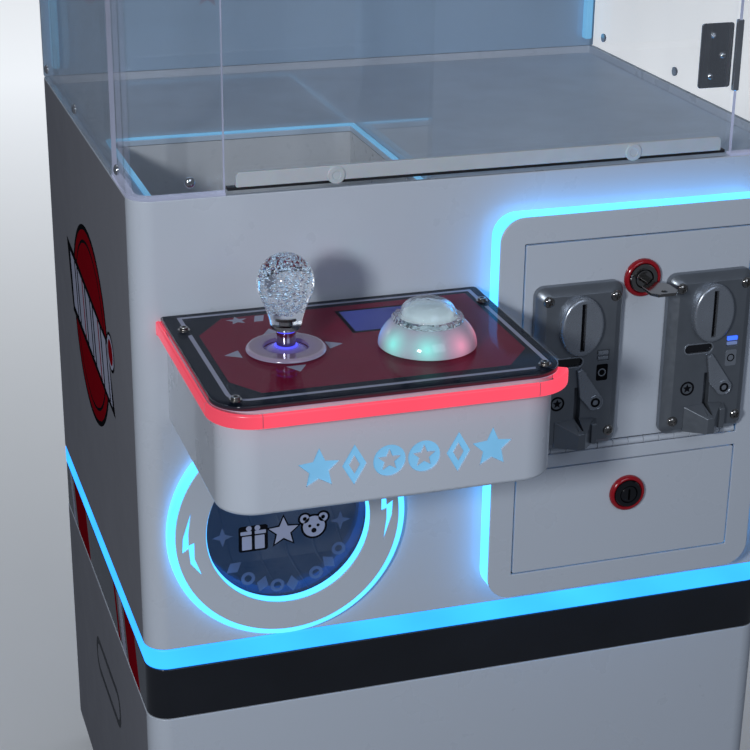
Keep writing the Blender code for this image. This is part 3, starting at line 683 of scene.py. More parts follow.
def make_flap_print():
    """Three plain prize pictures on dark grounds: a boxed gift, a star and a bear's head."""
    front = FLAP_Y[0]
    pictures, grounds, dim = [], [], []

    def picture(*outlines, into=pictures):
        into.append(plate(outlines, front - 0.16, front - 0.10))

    def ground(outline):
        grounds.append(plate([outline], front - 0.08, front - 0.02))

    picture(star(STAR, 11, 4.9))
    ground(star(STAR, 13.2, 6.3))
    ground(rounded(about(GIFT[0], 10.4), (GIFT[1] - 9.6, GIFT[1] + 10), 2))
    for way in (-1, 1):
        for reach, low, high in ((8, -8.2, 2.2), (9, 3.3, 6)):
            xs = sorted((GIFT[0] + way * 1.1, GIFT[0] + way * reach))
            picture(rounded(xs, (GIFT[1] + low, GIFT[1] + high), 0.6))
        picture(circle((GIFT[0] + way * 3, GIFT[1] + 8), 2.0, 20))
        ear = (BEAR[0] + way * 6.6, BEAR[1] + 6.4)
        picture(circle(ear, 3.4, 24), circle(ear, 1.5, 16))
        ground(circle(ear, 4.9, 24))
    eyes = [circle((BEAR[0] + way * 3, BEAR[1] + 0.5), 1.2, 16) for way in (-1, 1)]
    picture(circle(BEAR, 7.9, 40), *eyes, circle((BEAR[0], BEAR[1] - 3.2), 1.9, 20))
    ground(circle(BEAR, 9.5, 40))
    piece("prize_flap_pictures", merged(*pictures), LAVENDER, "prize_door", even=False)
    piece("prize_flap_grounds", merged(*grounds), INK, "prize_door", even=False)

    # Dimmer shapes: a spark at each end and an arch of rings and slim stars below.
    for at in SPARKS:
        picture(star(at, 7.4, 2.6, 4), into=dim)
    for i, angle in enumerate(ARCH_ANGLES):
        a = radians(angle)
        spot = (OUTLET_X + 45 * cos(a), OUTLET_Z - 6 + 45 * sin(a))
        if i % 2:
            picture(circle(spot, 5.0, 32), circle(spot, 2.6, 24), into=dim)
        else:
            picture(star(spot, 6.4, 4.4, 2, angle), into=dim)
    piece("prize_flap_print", merged(*dim), DIM_INK, "prize_door", even=False)


# --- doors of the plate ------------------------------------------------------
DOOR_X = span("coin_door", "x")
COIN_Z = span("coin_door", "z")
CASH_Z = span("cash_drawer_front", "z")
DOOR_Y = span("coin_door", "y")
ACCEPTOR_X = {side: middle(f"coin_acceptor_{side}", "x")[0] for side in SIDES}
COIN_LOCK = middle("coin_lock_housing", "xz")
CASH_LOCK = middle("cash_lock_housing", "xz")


def make_plate():
    """The raised plate round the coin door and the cash drawer, lit round its edge."""
    holes = [
        rounded(shrunk(DOOR_X, -1), (span("coin_door_hinge", "z")[0] - 0.2, COIN_Z[1] + 1), 0.6),
        rounded(shrunk(DOOR_X, -1), shrunk(CASH_Z, -1), 0.6),
    ]
    face = plate([rounded(PLATE_X, PLATE_Z, 17, steps=14), *holes], *PLATE_Y, "Y", 0.6, 3)
    piece("door_plate_face", face, PAINT, replaces="door_frame_plate")
    band_y = span("plate_light_band", "y")
    rings = [rounded(shrunk(PLATE_X, by), shrunk(PLATE_Z, by), 17 - by, steps=14) for by in (0.5, 6)]
    piece("door_plate_glow", plate(rings, *band_y, "Y", 0.5), CYAN, replaces="plate_light_band")
    # Dark inner frame behind the doors, painted shade so that their joints read as shadow lines.
    both_z = CASH_Z[0], COIN_Z[1]
    frames = [rounded(shrunk(DOOR_X, by), shrunk(both_z, by), 0.6) for by in (-1.4, 1.2)]
    piece("door_plate_shadow_frame", plate(frames, PLATE_Y[1] + 0.4, PLATE_Y[1] + 1.4, "Y"), BLACK)


def make_coin_door():
    """The door for the lock and both acceptors; its hinge's knuckles alternate with the cabinet's."""
    holes = [circle(COIN_LOCK, 9.3)]
    for x in ACCEPTOR_X.values():
        holes.append(rounded(about(x, 25.8), (-186, -86), 1))
    face = plate([rounded(DOOR_X, COIN_Z, 1.2), *holes], *DOOR_Y, "Y", 0.5)
    piece("coin_door_face", face, PAINT, "coin_door", "coin_door")

    y, z = middle("coin_door_hinge", "yz")
    radius = 2.5
    count = 14
    step = (DOOR_X[1] - DOOR_X[0] - 1) / count
    for body, first in (("coin_door", 0), ("cabinet", 1)):
        knuckles = []
        for i in range(first, count, 2):
            low = DOOR_X[0] + 0.5 + i * step
            profile = (0.8, low + 0.2), (radius - 0.3, low + 0.2), (radius, low + 0.5)
            profile += (radius, low + step - 0.5), (radius - 0.3, low + step - 0.2), (0.8, low + step - 0.2)
            knuckles.append(lathe(profile, (y, z), "X", 20))
        node = "coin_door_hinge" if body == "cabinet" else ()
        piece(f"coin_door_knuckles_{first + 1}", merged(*knuckles), PAINT, body, node)
    piece("coin_door_pin", rod([(DOOR_X[0] + 0.3, y, z), (DOOR_X[1] - 0.3, y, z)], 0.75), STEEL)


def stadium(xs, zs):
    return rounded(xs, zs, (zs[1] - zs[0]) / 2 - 0.01, steps=10)


ACCEPTOR_LOW, ACCEPTOR_HIGH = -193.0, -73.9
ACCEPTOR_SKIN = DOOR_Y[0] - GAP
ACCEPTOR_FACE = ACCEPTOR_SKIN - 10


def acceptor_body(name, x):
    """Bevelled die-cast face with its openings, and the pointed prow where coins come back."""
    low, high, skin, face = ACCEPTOR_LOW, ACCEPTOR_HIGH, ACCEPTOR_SKIN, ACCEPTOR_FACE
    base = rounded(about(x, 32.1), (low, high), 7, steps=10)
    shoulder = rounded(about(x, 29.8), (low + 2.2, high - 2.2), 6, steps=10)
    front = rounded((x - 26, x + 25.5), (low + 5, high - 5.6), 4.5, steps=10)
    shape = loft(((base, skin), (base, skin - 4.5), (shoulder, skin - 7.6), (front, face)), "Y")
    shape = less(
        shape,
        block(about(x, 2.3), (face - 2, face + 6), (-180, -147)),
        prism(stadium((x - 19, x + 2), (-131.1, -124.9)), face - 2, face + 3, "Y"),
        block((x + 13, x + 22), (face - 2, face + 1.2), (-129, -121)),
    )
    shape = softened(shape, 0.9, 3, 24)
    tip = face - 11.2
    root = [(-16.5, -190), (12.5, -190), (12.5, -170.6), (2, -170), (-2, -170), (-16.5, -171.2)]
    point = [(-2.6, -189.4), (2.6, -189.4), (2.6, -178.2), (1.6, -177.6), (-1.6, -177.6), (-2.6, -178.2)]
    root, point = ([(x + a, z) for a, z in line] for line in (root, point))
    prow = loft(((root, face + 1.5), (root, face - 0.6), (point, tip)), "Y")
    prow = softened(less(prow, block(about(x, 1.6), (tip + 2.6, face + 3), (-188, -160))), 0.7, 2, 24)
    foot, top = rounded((x + 9, x + 15.5), (-190, -171), 1), rounded((x + 10, x + 14), (-188.5, -174), 1)
    cheek = softened(loft(((foot, face + 0.5), (top, face - 5)), "Y"), 0.5, 2, 24)
    back = block(about(x, 25.3), (skin - 1, span(name, "y")[1]), (-185.8, -86.2), 1)
    piece(f"{name}_body", merged(shape, prow, cheek), CAST, "coin_door", name)
    piece(f"{name}_works", softened(back, 0.8), BLACK, "coin_door")


# The dial's section: how wide it is at each height above the acceptor's face.
DIAL_RIM = (1.0, -0.4), (1.0, 3.2), (0.985, 4.0), (0.955, 4.7), (0.91, 5.2)
DIAL_DISH = (0.86, 5.35), (0.82, 5.2), (0.5, 5.35), (0.2, 5.45)


def acceptor_dial(name, x):
    """The oval dial with its coin slot, a dark sheet in it as painted shade, and a ringed star below."""
    face, body = ACCEPTOR_FACE, "coin_door"
    dial_x, dial_z = x - 0.8, -101.5
    oval = circle((0, 0), 1.0, 96)
    sections = [
        ([(dial_x + 15.6 * k * c, dial_z + 21.3 * k * d) for c, d in oval], face - out)
        for k, out in DIAL_RIM + DIAL_DISH
    ]
    disc = less(loft(sections, "Y"), block(about(dial_x, 1.7), (face - 8, face - 2.2), about(dial_z, 17)))
    # The dial takes the lighter die cast, a painted highlight.
    piece(f"{name}_dial", disc, CAST_PAINTED_HIGHLIGHT, body)
    # A dark sheet in the slot: painted shade where the slot goes into the dark inside.
    dark = block(about(dial_x, 1.68), (face - 2.7, face - 2.25), about(dial_z, 16.9))
    piece(f"{name}_slot_painted_shade", dark, INK, body)
    spot = (x - 15.0, -157.5)
    ring = lathe(tube(4.0, 5.3, face + 0.1, face - 0.25), spot, "Y", 40)
    piece(f"{name}_mark", merged(ring, plate([star(spot, 3.4, 1.5)], face - 0.2, face + 0.1)), INK, body)


def acceptor_signs(name, x, lamps, label_look, mark_look):
    """Window with its rim, two lamps, a small label with a ring, corner screws and an eyelet."""
    face, body = ACCEPTOR_FACE, "coin_door"
    window = prism(stadium((x - 18.7, x + 1.7), (-130.8, -125.2)), face + 1.4, face + 3, "Y")
    piece(f"{name}_window", window, GLOSS_BLACK, body)
    rims = [stadium((x - 20 + by, x + 3 - by), (-132.1 + by, -123.9 - by)) for by in (0, 1)]
    piece(f"{name}_window_rim", plate(rims, face - 0.5, face + 0.1, "Y", 0.2), CAST_PAINTED_HIGHLIGHT, body)
    for i, (z, look) in enumerate(zip((-123.0, -126.8), lamps)):
        bar = block((x + 13.6, x + 21.4), (face - 0.3, face + 1.2), about(z, 1.5 - 0.4 * i))
        piece(f"{name}_lamp_{i + 1}", softened(bar, 0.4), look, body)
    label = plate([rounded((x + 13, x + 21.5), (-143.5, -131.5), 1.2)], face - 0.1, face + 0.05)
    piece(f"{name}_label", label, label_look, body, even=False)
    ring = [circle((x + 17.2, -137.5), radius, 32) for radius in (2.9, 2.1)]
    piece(f"{name}_label_mark", plate(ring, face - 0.2, face - 0.08), mark_look, body, even=False)
    places = [(x + way * 24.6, face + 0.3, z) for way in (-1, 1) for z in (-82.6, -181.6)]
    screws(f"{name}_screws", places, 3.9, body=body, look=CHROME_PAINTED_SHADE)
    eyelet = lathe(tube(1.2, 2.2, face + 0.4, face - 0.35), (x + 3.5, -138), "Y", 24)
    piece(f"{name}_eyelet", eyelet, CHROME, body)


def return_lever(body, x):
    """A slanting blade with a round lower end that carries a rim and a ring."""
    front, back = ACCEPTOR_FACE - 3.0, ACCEPTOR_FACE - GAP
    end = (x + 12.3, -158.4)
    blade = [(end[0] - 14.2, end[1] + 24.4), (end[0] - 11.6, end[1] + 4.6)]
    blade += [*arc(end, 6.0, 212, 402, 20), (end[0] - 10.6, end[1] + 25.8)]
    # Blade and rim take the lighter die cast, a painted highlight.
    piece(f"{body}_blade", plate([blade], front, back, "Y", 0.8, 3), CAST_PAINTED_HIGHLIGHT, body, body)
    rim = rod([(a, front, b) for a, b in arc(end, 5.2, -70, 130, 20)], 0.6)
    piece(f"{body}_rim", rim, CAST_PAINTED_HIGHLIGHT, body)
    mark = lathe(tube(2.0, 3.4, front + 0.1, front - 0.35), end, "Y", 32)
    piece(f"{body}_mark", mark, INK, body)


def make_acceptors():
    """Two coin acceptors that differ in their lamps and labels."""
    signs = {
        "left": ((CAST_PAINTED_HIGHLIGHT, CAST_PAINTED_HIGHLIGHT), INK, CAST_PAINTED_HIGHLIGHT),
        "right": ((LAMP_BLUE, LAMP_DIM), CAST_PAINTED_HIGHLIGHT, INK),
    }
    for side, x in ACCEPTOR_X.items():
        name = f"coin_acceptor_{side}"
        acceptor_body(name, x)
        acceptor_dial(name, x)
        acceptor_signs(name, x, *signs[side])
        return_lever(f"return_lever_{side}", x)


def lock(name, centre, body, finish, upright):
    """A cam lock: red ring, bezel and a turning core with its keyway and cam."""
    front = DOOR_Y[0] - GAP
    back = span(f"{name}_housing", "y")[1]
    ring = (10.3, front), (13.6, front), (13.6, front - 1.2), (13.2, front - 2.3), (12.4, front - 3.1)
    ring += (11.6, front - 3.3), (10.8, front - 3.0), (10.3, front - 2.2)
    piece(f"{name}_ring", lathe(ring, centre, "Y", 80), RED, body, f"{name}_housing")
    bezel = (6.3, back), (8.9, back), (8.9, front), (10.2, front), (10.2, front - 3.3)
    bezel += (9.6, front - 4.1), (8.2, front - 4.5), (6.8, front - 4.1), (6.3, front - 3.0)
    piece(f"{name}_bezel", lathe(bezel, centre, "Y", 80), finish, body)
    y0, y1 = span(f"{name}_core", "y")
    core = lathe([(0, y1), (6, y1), (6, y0 + 0.5), (5.5, y0), (0, y0)], centre, "Y", 48)
    wide, tall = (0.75, 4.2) if upright else (4.2, 0.75)
    core = less(core, block(about(centre[0], wide), (y0 - 1, y0 + 5), about(centre[1], tall)))
    cam = [(-4, -4.3), (31, -4.3), (33.5, -2), (33.5, 2), (31, 4.3), (-4, 4.3)]
    cam = prism([(centre[0] + a, centre[1] + b) for a, b in cam], y1 - 2.4, y1, "Y")
    piece(f"{name}_plug", merged(core, softened(cam, 0.3)), finish, name, f"{name}_core")
    joint = lathe(tube(6.05, 6.28, front - 3.4, front - 3.0), centre, "Y", 48)
    piece(f"{name}_joint", joint, INK, body)


def make_key():
    """A flat key blank: a narrow stem that widens to a bow with a hole."""
    x0, x1 = span("coin_lock_key", "x")
    y0, y1 = span("coin_lock_key", "y")
    x, z = (x0 + x1) / 2, middle("coin_lock_key", "z")[0]
    root = y1 - 11
    wide = (x1 - x0) / 2
    half = [(3.4, y1 + 3), (3.4, root), (6.5, root - 1), (wide, root - 5), (wide, y0 + 4.5), (wide - 3.5, y0)]
    bow = [(x - a, y) for a, y in half] + [(x + a, y) for a, y in half[::-1]]
    key = plate([bow, circle((x, y0 + 4.6), 2.1, 24)], z - 1.1, z + 1.1, "Z", 0.35)
    piece("coin_lock_key_blank", key, CHROME_PAINTED_SHADE, "coin_lock", "coin_lock_key")


def make_cash_drawer():
    """The drawer: face, open tray and the two posts that join them."""
    face = plate([rounded(DOOR_X, CASH_Z, 1.2), circle(CASH_LOCK, 9.3)], *DOOR_Y, "Y", 0.5)
    piece("cash_drawer_face", face, PAINT, "cash_drawer", "cash_drawer_front")
    xs, ys, zs = spans("cash_drawer_tray")
    tray = less(block(xs, ys, zs), block(shrunk(xs, 2), shrunk(ys, 2), (zs[0] + 2, zs[1] + 5)))
    piece("cash_drawer_box", softened(tray, 0.3, 1), BLACK, "cash_drawer", "cash_drawer_tray")
    posts = [block(about(x, 6), (DOOR_Y[1], ys[0] + 1), shrunk(zs, 6), 1) for x in shrunk(xs, 12)]
    piece("cash_drawer_posts", merged(*posts), STEEL_Z, "cash_drawer")


# --- console -----------------------------------------------------------------
CONSOLE_X, CONSOLE_Y, CONSOLE_Z = spans("console_box")
SLAB_X, SLAB_Y, SLAB_Z = spans("console_panel")
STICK = middle("joystick_escutcheon", "xy")
BUTTON = middle("button_housing", "xy")
SLAB_TOP = SLAB_Z[1]


def console_outline(inset=0.0, extra=0.0):
    xs = shrunk(CONSOLE_X, inset)
    return rounded(xs, (CONSOLE_Y[0] + inset, CONSOLE_Y[1] + extra), 23 - inset, 0, 14)


BOTTOM_TURN = 3.0
GLYPHS = "star", "gem", "ring", "ring", "gem", "star"
GLYPH_PITCH, GLYPH = 21.8, 11.6
GLYPH_X, GLYPH_Z = sum(CONSOLE_X) / 2 + 6.5, (-137.7 - 111.4) / 2


def glyph_outlines(kind, spot):
    """The opening cut for a glyph, and the island that stays in it where there is one."""
    if kind == "star":
        return [star(spot, GLYPH + 2, GLYPH * 0.55)]
    if kind == "gem":
        return [star(spot, GLYPH + 1.6, GLYPH * 0.66, 2), star(spot, GLYPH * 0.5, GLYPH * 0.28, 2)]
    return [circle(spot, GLYPH * 0.88, 40), star(spot, GLYPH * 0.62, GLYPH * 0.27)]


def make_console():
    """The painted box, hollowed from above, with a row of backlit glyphs cut in its front."""
    low, high = CONSOLE_Z
    sections = []
    for a in (radians(angle) for angle in range(0, 91, 15)):
        outline = console_outline(BOTTOM_TURN * (1 - sin(a)))
        sections.append((outline, low + BOTTOM_TURN * (1 - cos(a))))
    body = loft((*sections, (console_outline(), high)))
    body = less(body, prism(console_outline(3.0, -3), low + 3, high + 5))
    front = CONSOLE_Y[0]
    islands = []
    for i, kind in enumerate(GLYPHS):
        opening, *island = glyph_outlines(kind, (GLYPH_X + (i - 2.5) * GLYPH_PITCH, GLYPH_Z))
        body = less(body, prism(opening, front - 3, front + 5, "Y"))
        islands += [plate([outline], front, front + 2.9, "Y", 0.2) for outline in island]
    piece("console_shell", body, PAINT, replaces="console_box")
    piece("console_glyph_centres", merged(*islands), PAINT)
    light = block((CONSOLE_X[0] + 30, CONSOLE_X[1] - 26), (front + 1.3, front + 2.9), (-141, -108), 0.5)
    piece("console_backlight", light, CYAN_SOFT)


def make_pink_band():
    """The lit band round the console, dimmer at its left end, with fine joints near the corners."""
    (x0, x1), (y0, _), (low, high) = spans("console_light_band")
    y1 = -GAP
    inner = rounded((CONSOLE_X[0] - GAP, CONSOLE_X[1] + GAP), (CONSOLE_Y[0] - GAP, 6), 23.3, 0, 14)
    inner = [(a, min(b, y1 + 1)) for a, b in inner]
    # Along the right side the band runs back out of sight, under the slab's edge.
    outline = rounded((x0, x1), (y0, y1), 28, 0.01, 16)
    outline = [(min(a, SLAB_X[1] - 0.3) if b > -146 else a, b) for a, b in outline]
    band = plate([outline], low, high, "Z", 1.7, 4)
    front_ys, joint_y, zs = (y0 - 2, CONSOLE_Y[0]), (y0 + 27.4, y0 + 27.8), (low - 1, high + 1)
    band = less(
        band,
        prism(inner, low - 3, high + 3),
        block((x0 + 27.4, x0 + 27.8), front_ys, zs),
        block((x1 - 27.8, x1 - 27.4), front_ys, zs),
        block((x0 - 2, CONSOLE_X[0]), joint_y, zs),
        block((CONSOLE_X[1], x1 + 2), joint_y, zs),
    )
    left = DATUM.x + x0 / 1000
    dimmer = PINK.ranged(PINK.axis("X"), left, left + 0.034, 0.72, 1.0)
    strength = PINK.shader.inputs["Emission Strength"].links[0].from_socket
    PINK.put(PINK.shader, {"Emission Strength": PINK.math("MULTIPLY", strength, dimmer)})
    piece("console_pink_band", band, PINK, replaces="console_light_band")


SLAB_SCREWS = (25.0, -35.0), (29.2, -153.0), (224.0, -35.2), (219.7, -151.7)
SLAB_BASE_TOP = SLAB_TOP - 2.3
FIELD = [
    (33.0, -42.6), (53.2, -16.4), (220.4, -13.4), (220.6, -118.8), (201.7, -142.2), (47.5, -142.8),
    (33.0, -121.6),
]
LINE_X, LINE_Y = (26.4, 226.6), (-151.6, -6.6)
LCD_X, LCD_Y = (126.4, 174.8), (-64.6, -23.2)
ARROW = (37.5, 0), (27.6, 6.2), (27.6, -6.2)


def make_slab():
    """A dark body below a clear slab, with the prints between them and screws at the corners."""
    bottom, top = SLAB_Z
    outline = rounded(SLAB_X, SLAB_Y, 22, 3, 14)
    holes = [circle(STICK, 20.2, 72), circle(BUTTON, 15.0, 64)]
    body = plate([outline, *holes], bottom, SLAB_BASE_TOP, "Z", 0.3)
    piece("console_slab_body", body, SLAB_BODY, replaces="console_panel")
    slab = plate([outline, *holes], SLAB_BASE_TOP + 0.7, top, "Z", 0.45, 3)
    piece("console_clear_slab", slab, SLAB_PANE)
    make_slab_prints()
    rim = [rounded(shrunk(SLAB_X, by), shrunk(SLAB_Y, by), 22 - by, 3 - by, 14) for by in (0.1, 1.5)]
    # A thin glowing line under the slab's edge: a painted highlight.
    piece("slab_edge_light", plate(rim, bottom - 0.25, bottom - 0.02, "Z", 0.08, 1), PAINTED_EDGE_HIGHLIGHT)
    places = [(x, y, top + 0.1) for x, y in SLAB_SCREWS]
    screws("slab_screws", places, 2.7, "up", kind="hex", look=CHROME_PAINTED_SHADE, washer=3.9)


def slab_film(name, outlines, level, look):
    """A printed layer under the clear slab, above the layers of lower levels."""
    z = SLAB_BASE_TOP + 0.03 + 0.09 * level
    piece(f"slab_print_{name}", plate(outlines, z, z + 0.07, "Z"), look, even=False)


def make_slab_prints():
    """Navy ground, pale line with rounded corners, crimson field, screen, arrows and motif."""
    holes = [circle(STICK, 16.6, 72), circle(BUTTON, 15.0, 64)]
    ground = rounded(shrunk(SLAB_X, 0.8), shrunk(SLAB_Y, 0.8), 21.2, 2.4, 14)
    slab_film("navy", [ground, *holes], 0, NAVY)
    lines = [rounded(shrunk(LINE_X, by), shrunk(LINE_Y, by), 13 - by, max(1 - by, 0)) for by in (0, 2.7)]
    slab_film("line", lines, 1, LAVENDER)
    for i, spot in enumerate(SLAB_SCREWS, 1):
        slab_film(f"patch_{i}", [circle(spot, 5.4, 40)], 2, NAVY)
    slab_film("crimson", [FIELD, *holes], 3, CRIMSON)
    slab_film("lcd_frame", [rounded(LCD_X, LCD_Y, 0.8)], 4, INK)
    slab_film("lcd", [rounded(shrunk(LCD_X, 2.6), shrunk(LCD_Y, 2.6), 0.4)], 5, SCREEN)
    for i in range(4):
        c, d = cos(radians(90 * i)), sin(radians(90 * i))
        arrow = [(STICK[0] + a * c - b * d, STICK[1] + 4.5 + a * d + b * c) for a, b in ARROW]
        slab_film(f"arrow_{i + 1}", [arrow], 4, LAVENDER)
    # Generic motif where the panel carries its title: a star and three slanted bars.
    slab_film("star", [star((62, -22.5), 7.0, 3.0)], 4, LAVENDER)
    for i, start in enumerate((72, 82, 92), 1):
        bar = [(start, -27.5), (start + 6, -27.5), (start + 9, -17.5), (start + 3, -17.5)]
        slab_film(f"bar_{i}", [bar], 4, LAVENDER)


def around(look, centre):
    """Distance in millimetres from the upright line through the centre, in a look's nodes."""
    x, y = (DATUM[i] + centre[i] / 1000 for i in range(2))
    dx, dy = (look.math("SUBTRACT", look.axis(a), value) for a, value in (("X", x), ("Y", y)))
    squares = look.math("ADD", look.math("MULTIPLY", dx, dx), look.math("MULTIPLY", dy, dy))
    return look.math("MULTIPLY", look.math("SQRT", squares), 1000)


def painted_light_ramp(look, colours, value):
    """Emission colour along a ramp of (position, colour) stops, for light painted onto parts that are no
    lamps.
    """
    ramp = look.node("ValToRGB", {"Fac": value})
    stops = ramp.color_ramp.elements
    while len(stops) < len(colours):
        stops.new(0.5)
    for stop, (position, colour) in zip(stops, colours):
        stop.position, stop.color = position, (*colour, 1)
    look.put(look.shader, {"Emission Color": ramp.outputs[0], "Emission Strength": 1.0})


PIVOT_Z = middle("joystick_gimbal", "z")[0]
# Painted light on the disc: blue near its hole, and a pale highlight on its edge.
DISC_PAINTED_LIGHT = (
    (0.22, (0.05, 0.06, 0.95)), (0.36, (0.04, 0.035, 0.45)), (0.48, (0.035, 0.025, 0.12)),
    (0.52, (0.06, 0.05, 0.24)), (0.56, (0.03, 0.02, 0.07)), (0.88, (0.04, 0.03, 0.05)),
    (0.93, (0.13, 0.12, 0.17)), (1.0, (0.12, 0.12, 0.20)),
)
# Painted light on the dust ball: blue near the stick, fading outwards.
BALL_PAINTED_LIGHT = (
    (0.0, (0.05, 0.06, 0.95)), (0.26, (0.045, 0.05, 0.75)), (0.34, (0.045, 0.04, 0.25)),
    (0.5, (0.03, 0.025, 0.06)), (0.56, (0.0, 0.0, 0.0)),
)


def make_stick_disc():
    """The dark clear ring on the slab, with painted blue light near its hole and a painted pale highlight on
    its edge.
    """
    top = SLAB_TOP
    look = surface("stick_disc", "clear_acrylic", (0.13, 0.085, 0.11), 0.12, {"Coat Weight": 0.3}, 0.05, 60)
    painted_light_ramp(look, DISC_PAINTED_LIGHT, look.ranged(around(look, STICK), 0, 25, 0, 1))
    ring = (13.8, top + 0.3), (24.7, top + 0.3), (24.6, top + 1.1), (23.6, top + 2.3)
    ring += (22.9, top + 2.6), (14.4, top + 2.5), (13.8, top + 2.0)
    piece("joystick_disc", lathe(ring, STICK, "Z", 96), look, replaces="joystick_escutcheon")


def make_stick_shaft():
    """Dust ball round the pivot with painted blue light near its middle, chromed sleeve tinted purple as a
    painted reflection, stem and two thin glowing rings.
    """
    ball = 26.2
    cap = [(ball * sin(radians(a)), PIVOT_Z + ball * cos(radians(a))) for a in range(50, 12, -4)]
    rim, height = cap[0]
    profile = [(0, -104), (4.5, -104), (4.6, height - 1.5), (rim - 1.5, height - 1.0)]
    profile += [*cap, (5.6, -70.7), (0, -70.7)]
    look = surface("stick_ball", "black_plastic", (0.12, 0.08, 0.10), 0.2, COAT, 0.05, 60)
    painted_light_ramp(look, BALL_PAINTED_LIGHT, look.ranged(around(look, STICK), 0, 26, 0, 1))
    piece("joystick_ball", lathe(profile, STICK, "Z", 72), look, "joystick")
    sleeve = [(0, -72.6), (6.0, -72.6), (6.0, -61.9), (5.7, -61.6), (0, -61.6)]
    # The sleeve's purple tint is a painted reflection of the pink and blue light round the stick.
    look = metal("stick_sleeve", "chrome", (0.62, 0.58, 0.80), 0.10)
    piece("joystick_sleeve", lathe(sleeve, STICK, "Z", 64), look, "joystick", "joystick_shaft")
    stem = [(0, -125), (3.6, -125), (4.4, -124.2), (4.4, -103.8), (0, -103.8)]
    piece("joystick_stem", lathe(stem, STICK, "Z", 40), STEEL_Z, "joystick")
    violet = lit("stick_violet", "black_plastic", (0.1, 0.1, 0.9), (0.07, 0.075, 0.95), 1.5, 0.15)
    for i, (r, z) in enumerate(((6.9, -71.0), (6.25, -61.3)), 1):
        ring = [(r - 0.8, z - 0.45), (r, z - 0.3), (r, z + 0.3), (r - 0.8, z + 0.45)]
        piece(f"joystick_glow_{i}", lathe(ring, STICK, "Z", 48), violet, "joystick")


KNOB = [
    (6.2, -60.8), (7.6, -60.7), (9.2, -59.4), (9.7, -57.6), (10.2, -54.5), (11.2, -50.6),
    (12.6, -46.6), (14.4, -42.0), (16.2, -37.6), (17.2, -34.2), (17.5, -31.3), (17.15, -27.4),
    (15.9, -23.2), (13.5, -19.0), (10.1, -15.7), (5.6, -13.6),
]
GLASS_IOR = 1.46
BUBBLES, TRIES = 900, 9000


def bubble_clouds():
    """Small balls that don't touch, filling the knob's bulb, dealt in turn to two shapes."""
    random.seed(7)
    clouds = bmesh.new(), bmesh.new()
    placed = []
    for _ in range(TRIES):
        if len(placed) == BUBBLES:
            break
        height = random.uniform(-49.0, -16.5)
        upper = 16.2 * max(0.0, 1 - ((height + 33.0) / 18.2) ** 2) ** 0.5
        reach = min(upper, 8.0 + (height + 50.0) * 0.56) if height < -33 else upper
        angle, out = random.uniform(0, tau), reach * random.uniform(0.0, 1.0) ** 0.4
        size = random.choice((0.32, 0.42, 0.5, 0.5, 0.6, 0.7, 0.9))
        spot = Vector((STICK[0] + out * cos(angle), STICK[1] + out * sin(angle), height))
        if out + size > reach or any((spot - other).length < size + r + 0.08 for other, r in placed):
            continue
        placed.append((spot, size))
        cloud = clouds[len(placed) % 2]
        made = bmesh.ops.create_icosphere(cloud, subdivisions=2, radius=size)
        bmesh.ops.translate(cloud, verts=made["verts"], vec=spot)
    return clouds


def make_knob():
    """The clear bulb with its bubbles, half of them silvery with a faint painted glow for glints, and a dark
    collar inside.
    """
    profile = [(0, -60.8), *smooth_line(KNOB, 4), (0, -13.0)]
    clear = glassy("knob_glass", (0.97, 0.98, 1.0), 0.0, GLASS_IOR)
    clear.bump(clear.noise(120, 2), 0.00005)
    piece("joystick_knob_glass", lathe(profile, STICK, "Z", 96), clear, "joystick", "joystick_knob")
    air = glassy("knob_bubble", (1.0, 1.0, 1.0), 0.0, 1 / GLASS_IOR)
    air.bump(air.noise(400, 2), 0.00002)
    # A faint emission on the silvery bubbles: painted glints.
    glint = {"Emission Color": (0.5, 0.75, 1.0, 1), "Emission Strength": 0.10}
    silver = metal("knob_bubble_glint", "chrome", (0.72, 0.86, 1.0), 0.06, relief=0.000001, inputs=glint)
    bubbles, glints = bubble_clouds()
    piece("joystick_bubbles", bubbles, air, "joystick", even=False)
    piece("joystick_bubble_glints", glints, silver, "joystick", even=False)
    collar = [(0, -60.6), (5.6, -60.6), (5.6, -57.6), (5.0, -57.2), (2.7, -57.0), (2.7, -54.0), (0, -54.0)]
    dark = metal("collar_dark", "chrome", (0.10, 0.10, 0.11), 0.08)
    piece("joystick_collar", lathe(collar, STICK, "Z", 56), dark, "joystick")
    nut = [(0, -53.9), (4.0, -53.9), (4.2, -53.5), (4.2, -52.3), (3.8, -51.9), (0, -51.9)]
    piece("joystick_collar_nut", lathe(nut, STICK, "Z", 40), GLOSS_BLACK, "joystick")


def make_stick_box():
    """The switch housing below the slab and the gimbal ring in it."""
    xs, ys, zs = spans("joystick_housing")
    housing = less(block(xs, ys, zs, 3), block(shrunk(xs, 3), shrunk(ys, 3), (zs[0] + 3, zs[1] + 5)))
    piece("joystick_case", softened(housing, 0.5, 1), BLACK, replaces="joystick_housing")
    gimbal = softened(lathe(tube(20, 24, PIVOT_Z - 4, PIVOT_Z + 4), STICK, "Z", 48), 0.5)
    piece("joystick_gimbal_ring", gimbal, STEEL, "joystick_gimbal", "joystick_gimbal")


BUTTON_TOP = SLAB_TOP + GAP
CRYSTAL = glassy("dome_crystal", (0.92, 0.98, 1.0), 0.02, 1.45)
CRYSTAL.bump(CRYSTAL.noise(260, 2), 0.0001)
MINT, ROSE, BLUE = (0.05, 0.62, 0.50), (0.62, 0.16, 0.26), (0.12, 0.30, 0.75)
DOME_LAMPS = MINT, MINT, ROSE, ROSE, BLUE, MINT, ROSE, BLUE
TURNS = 88


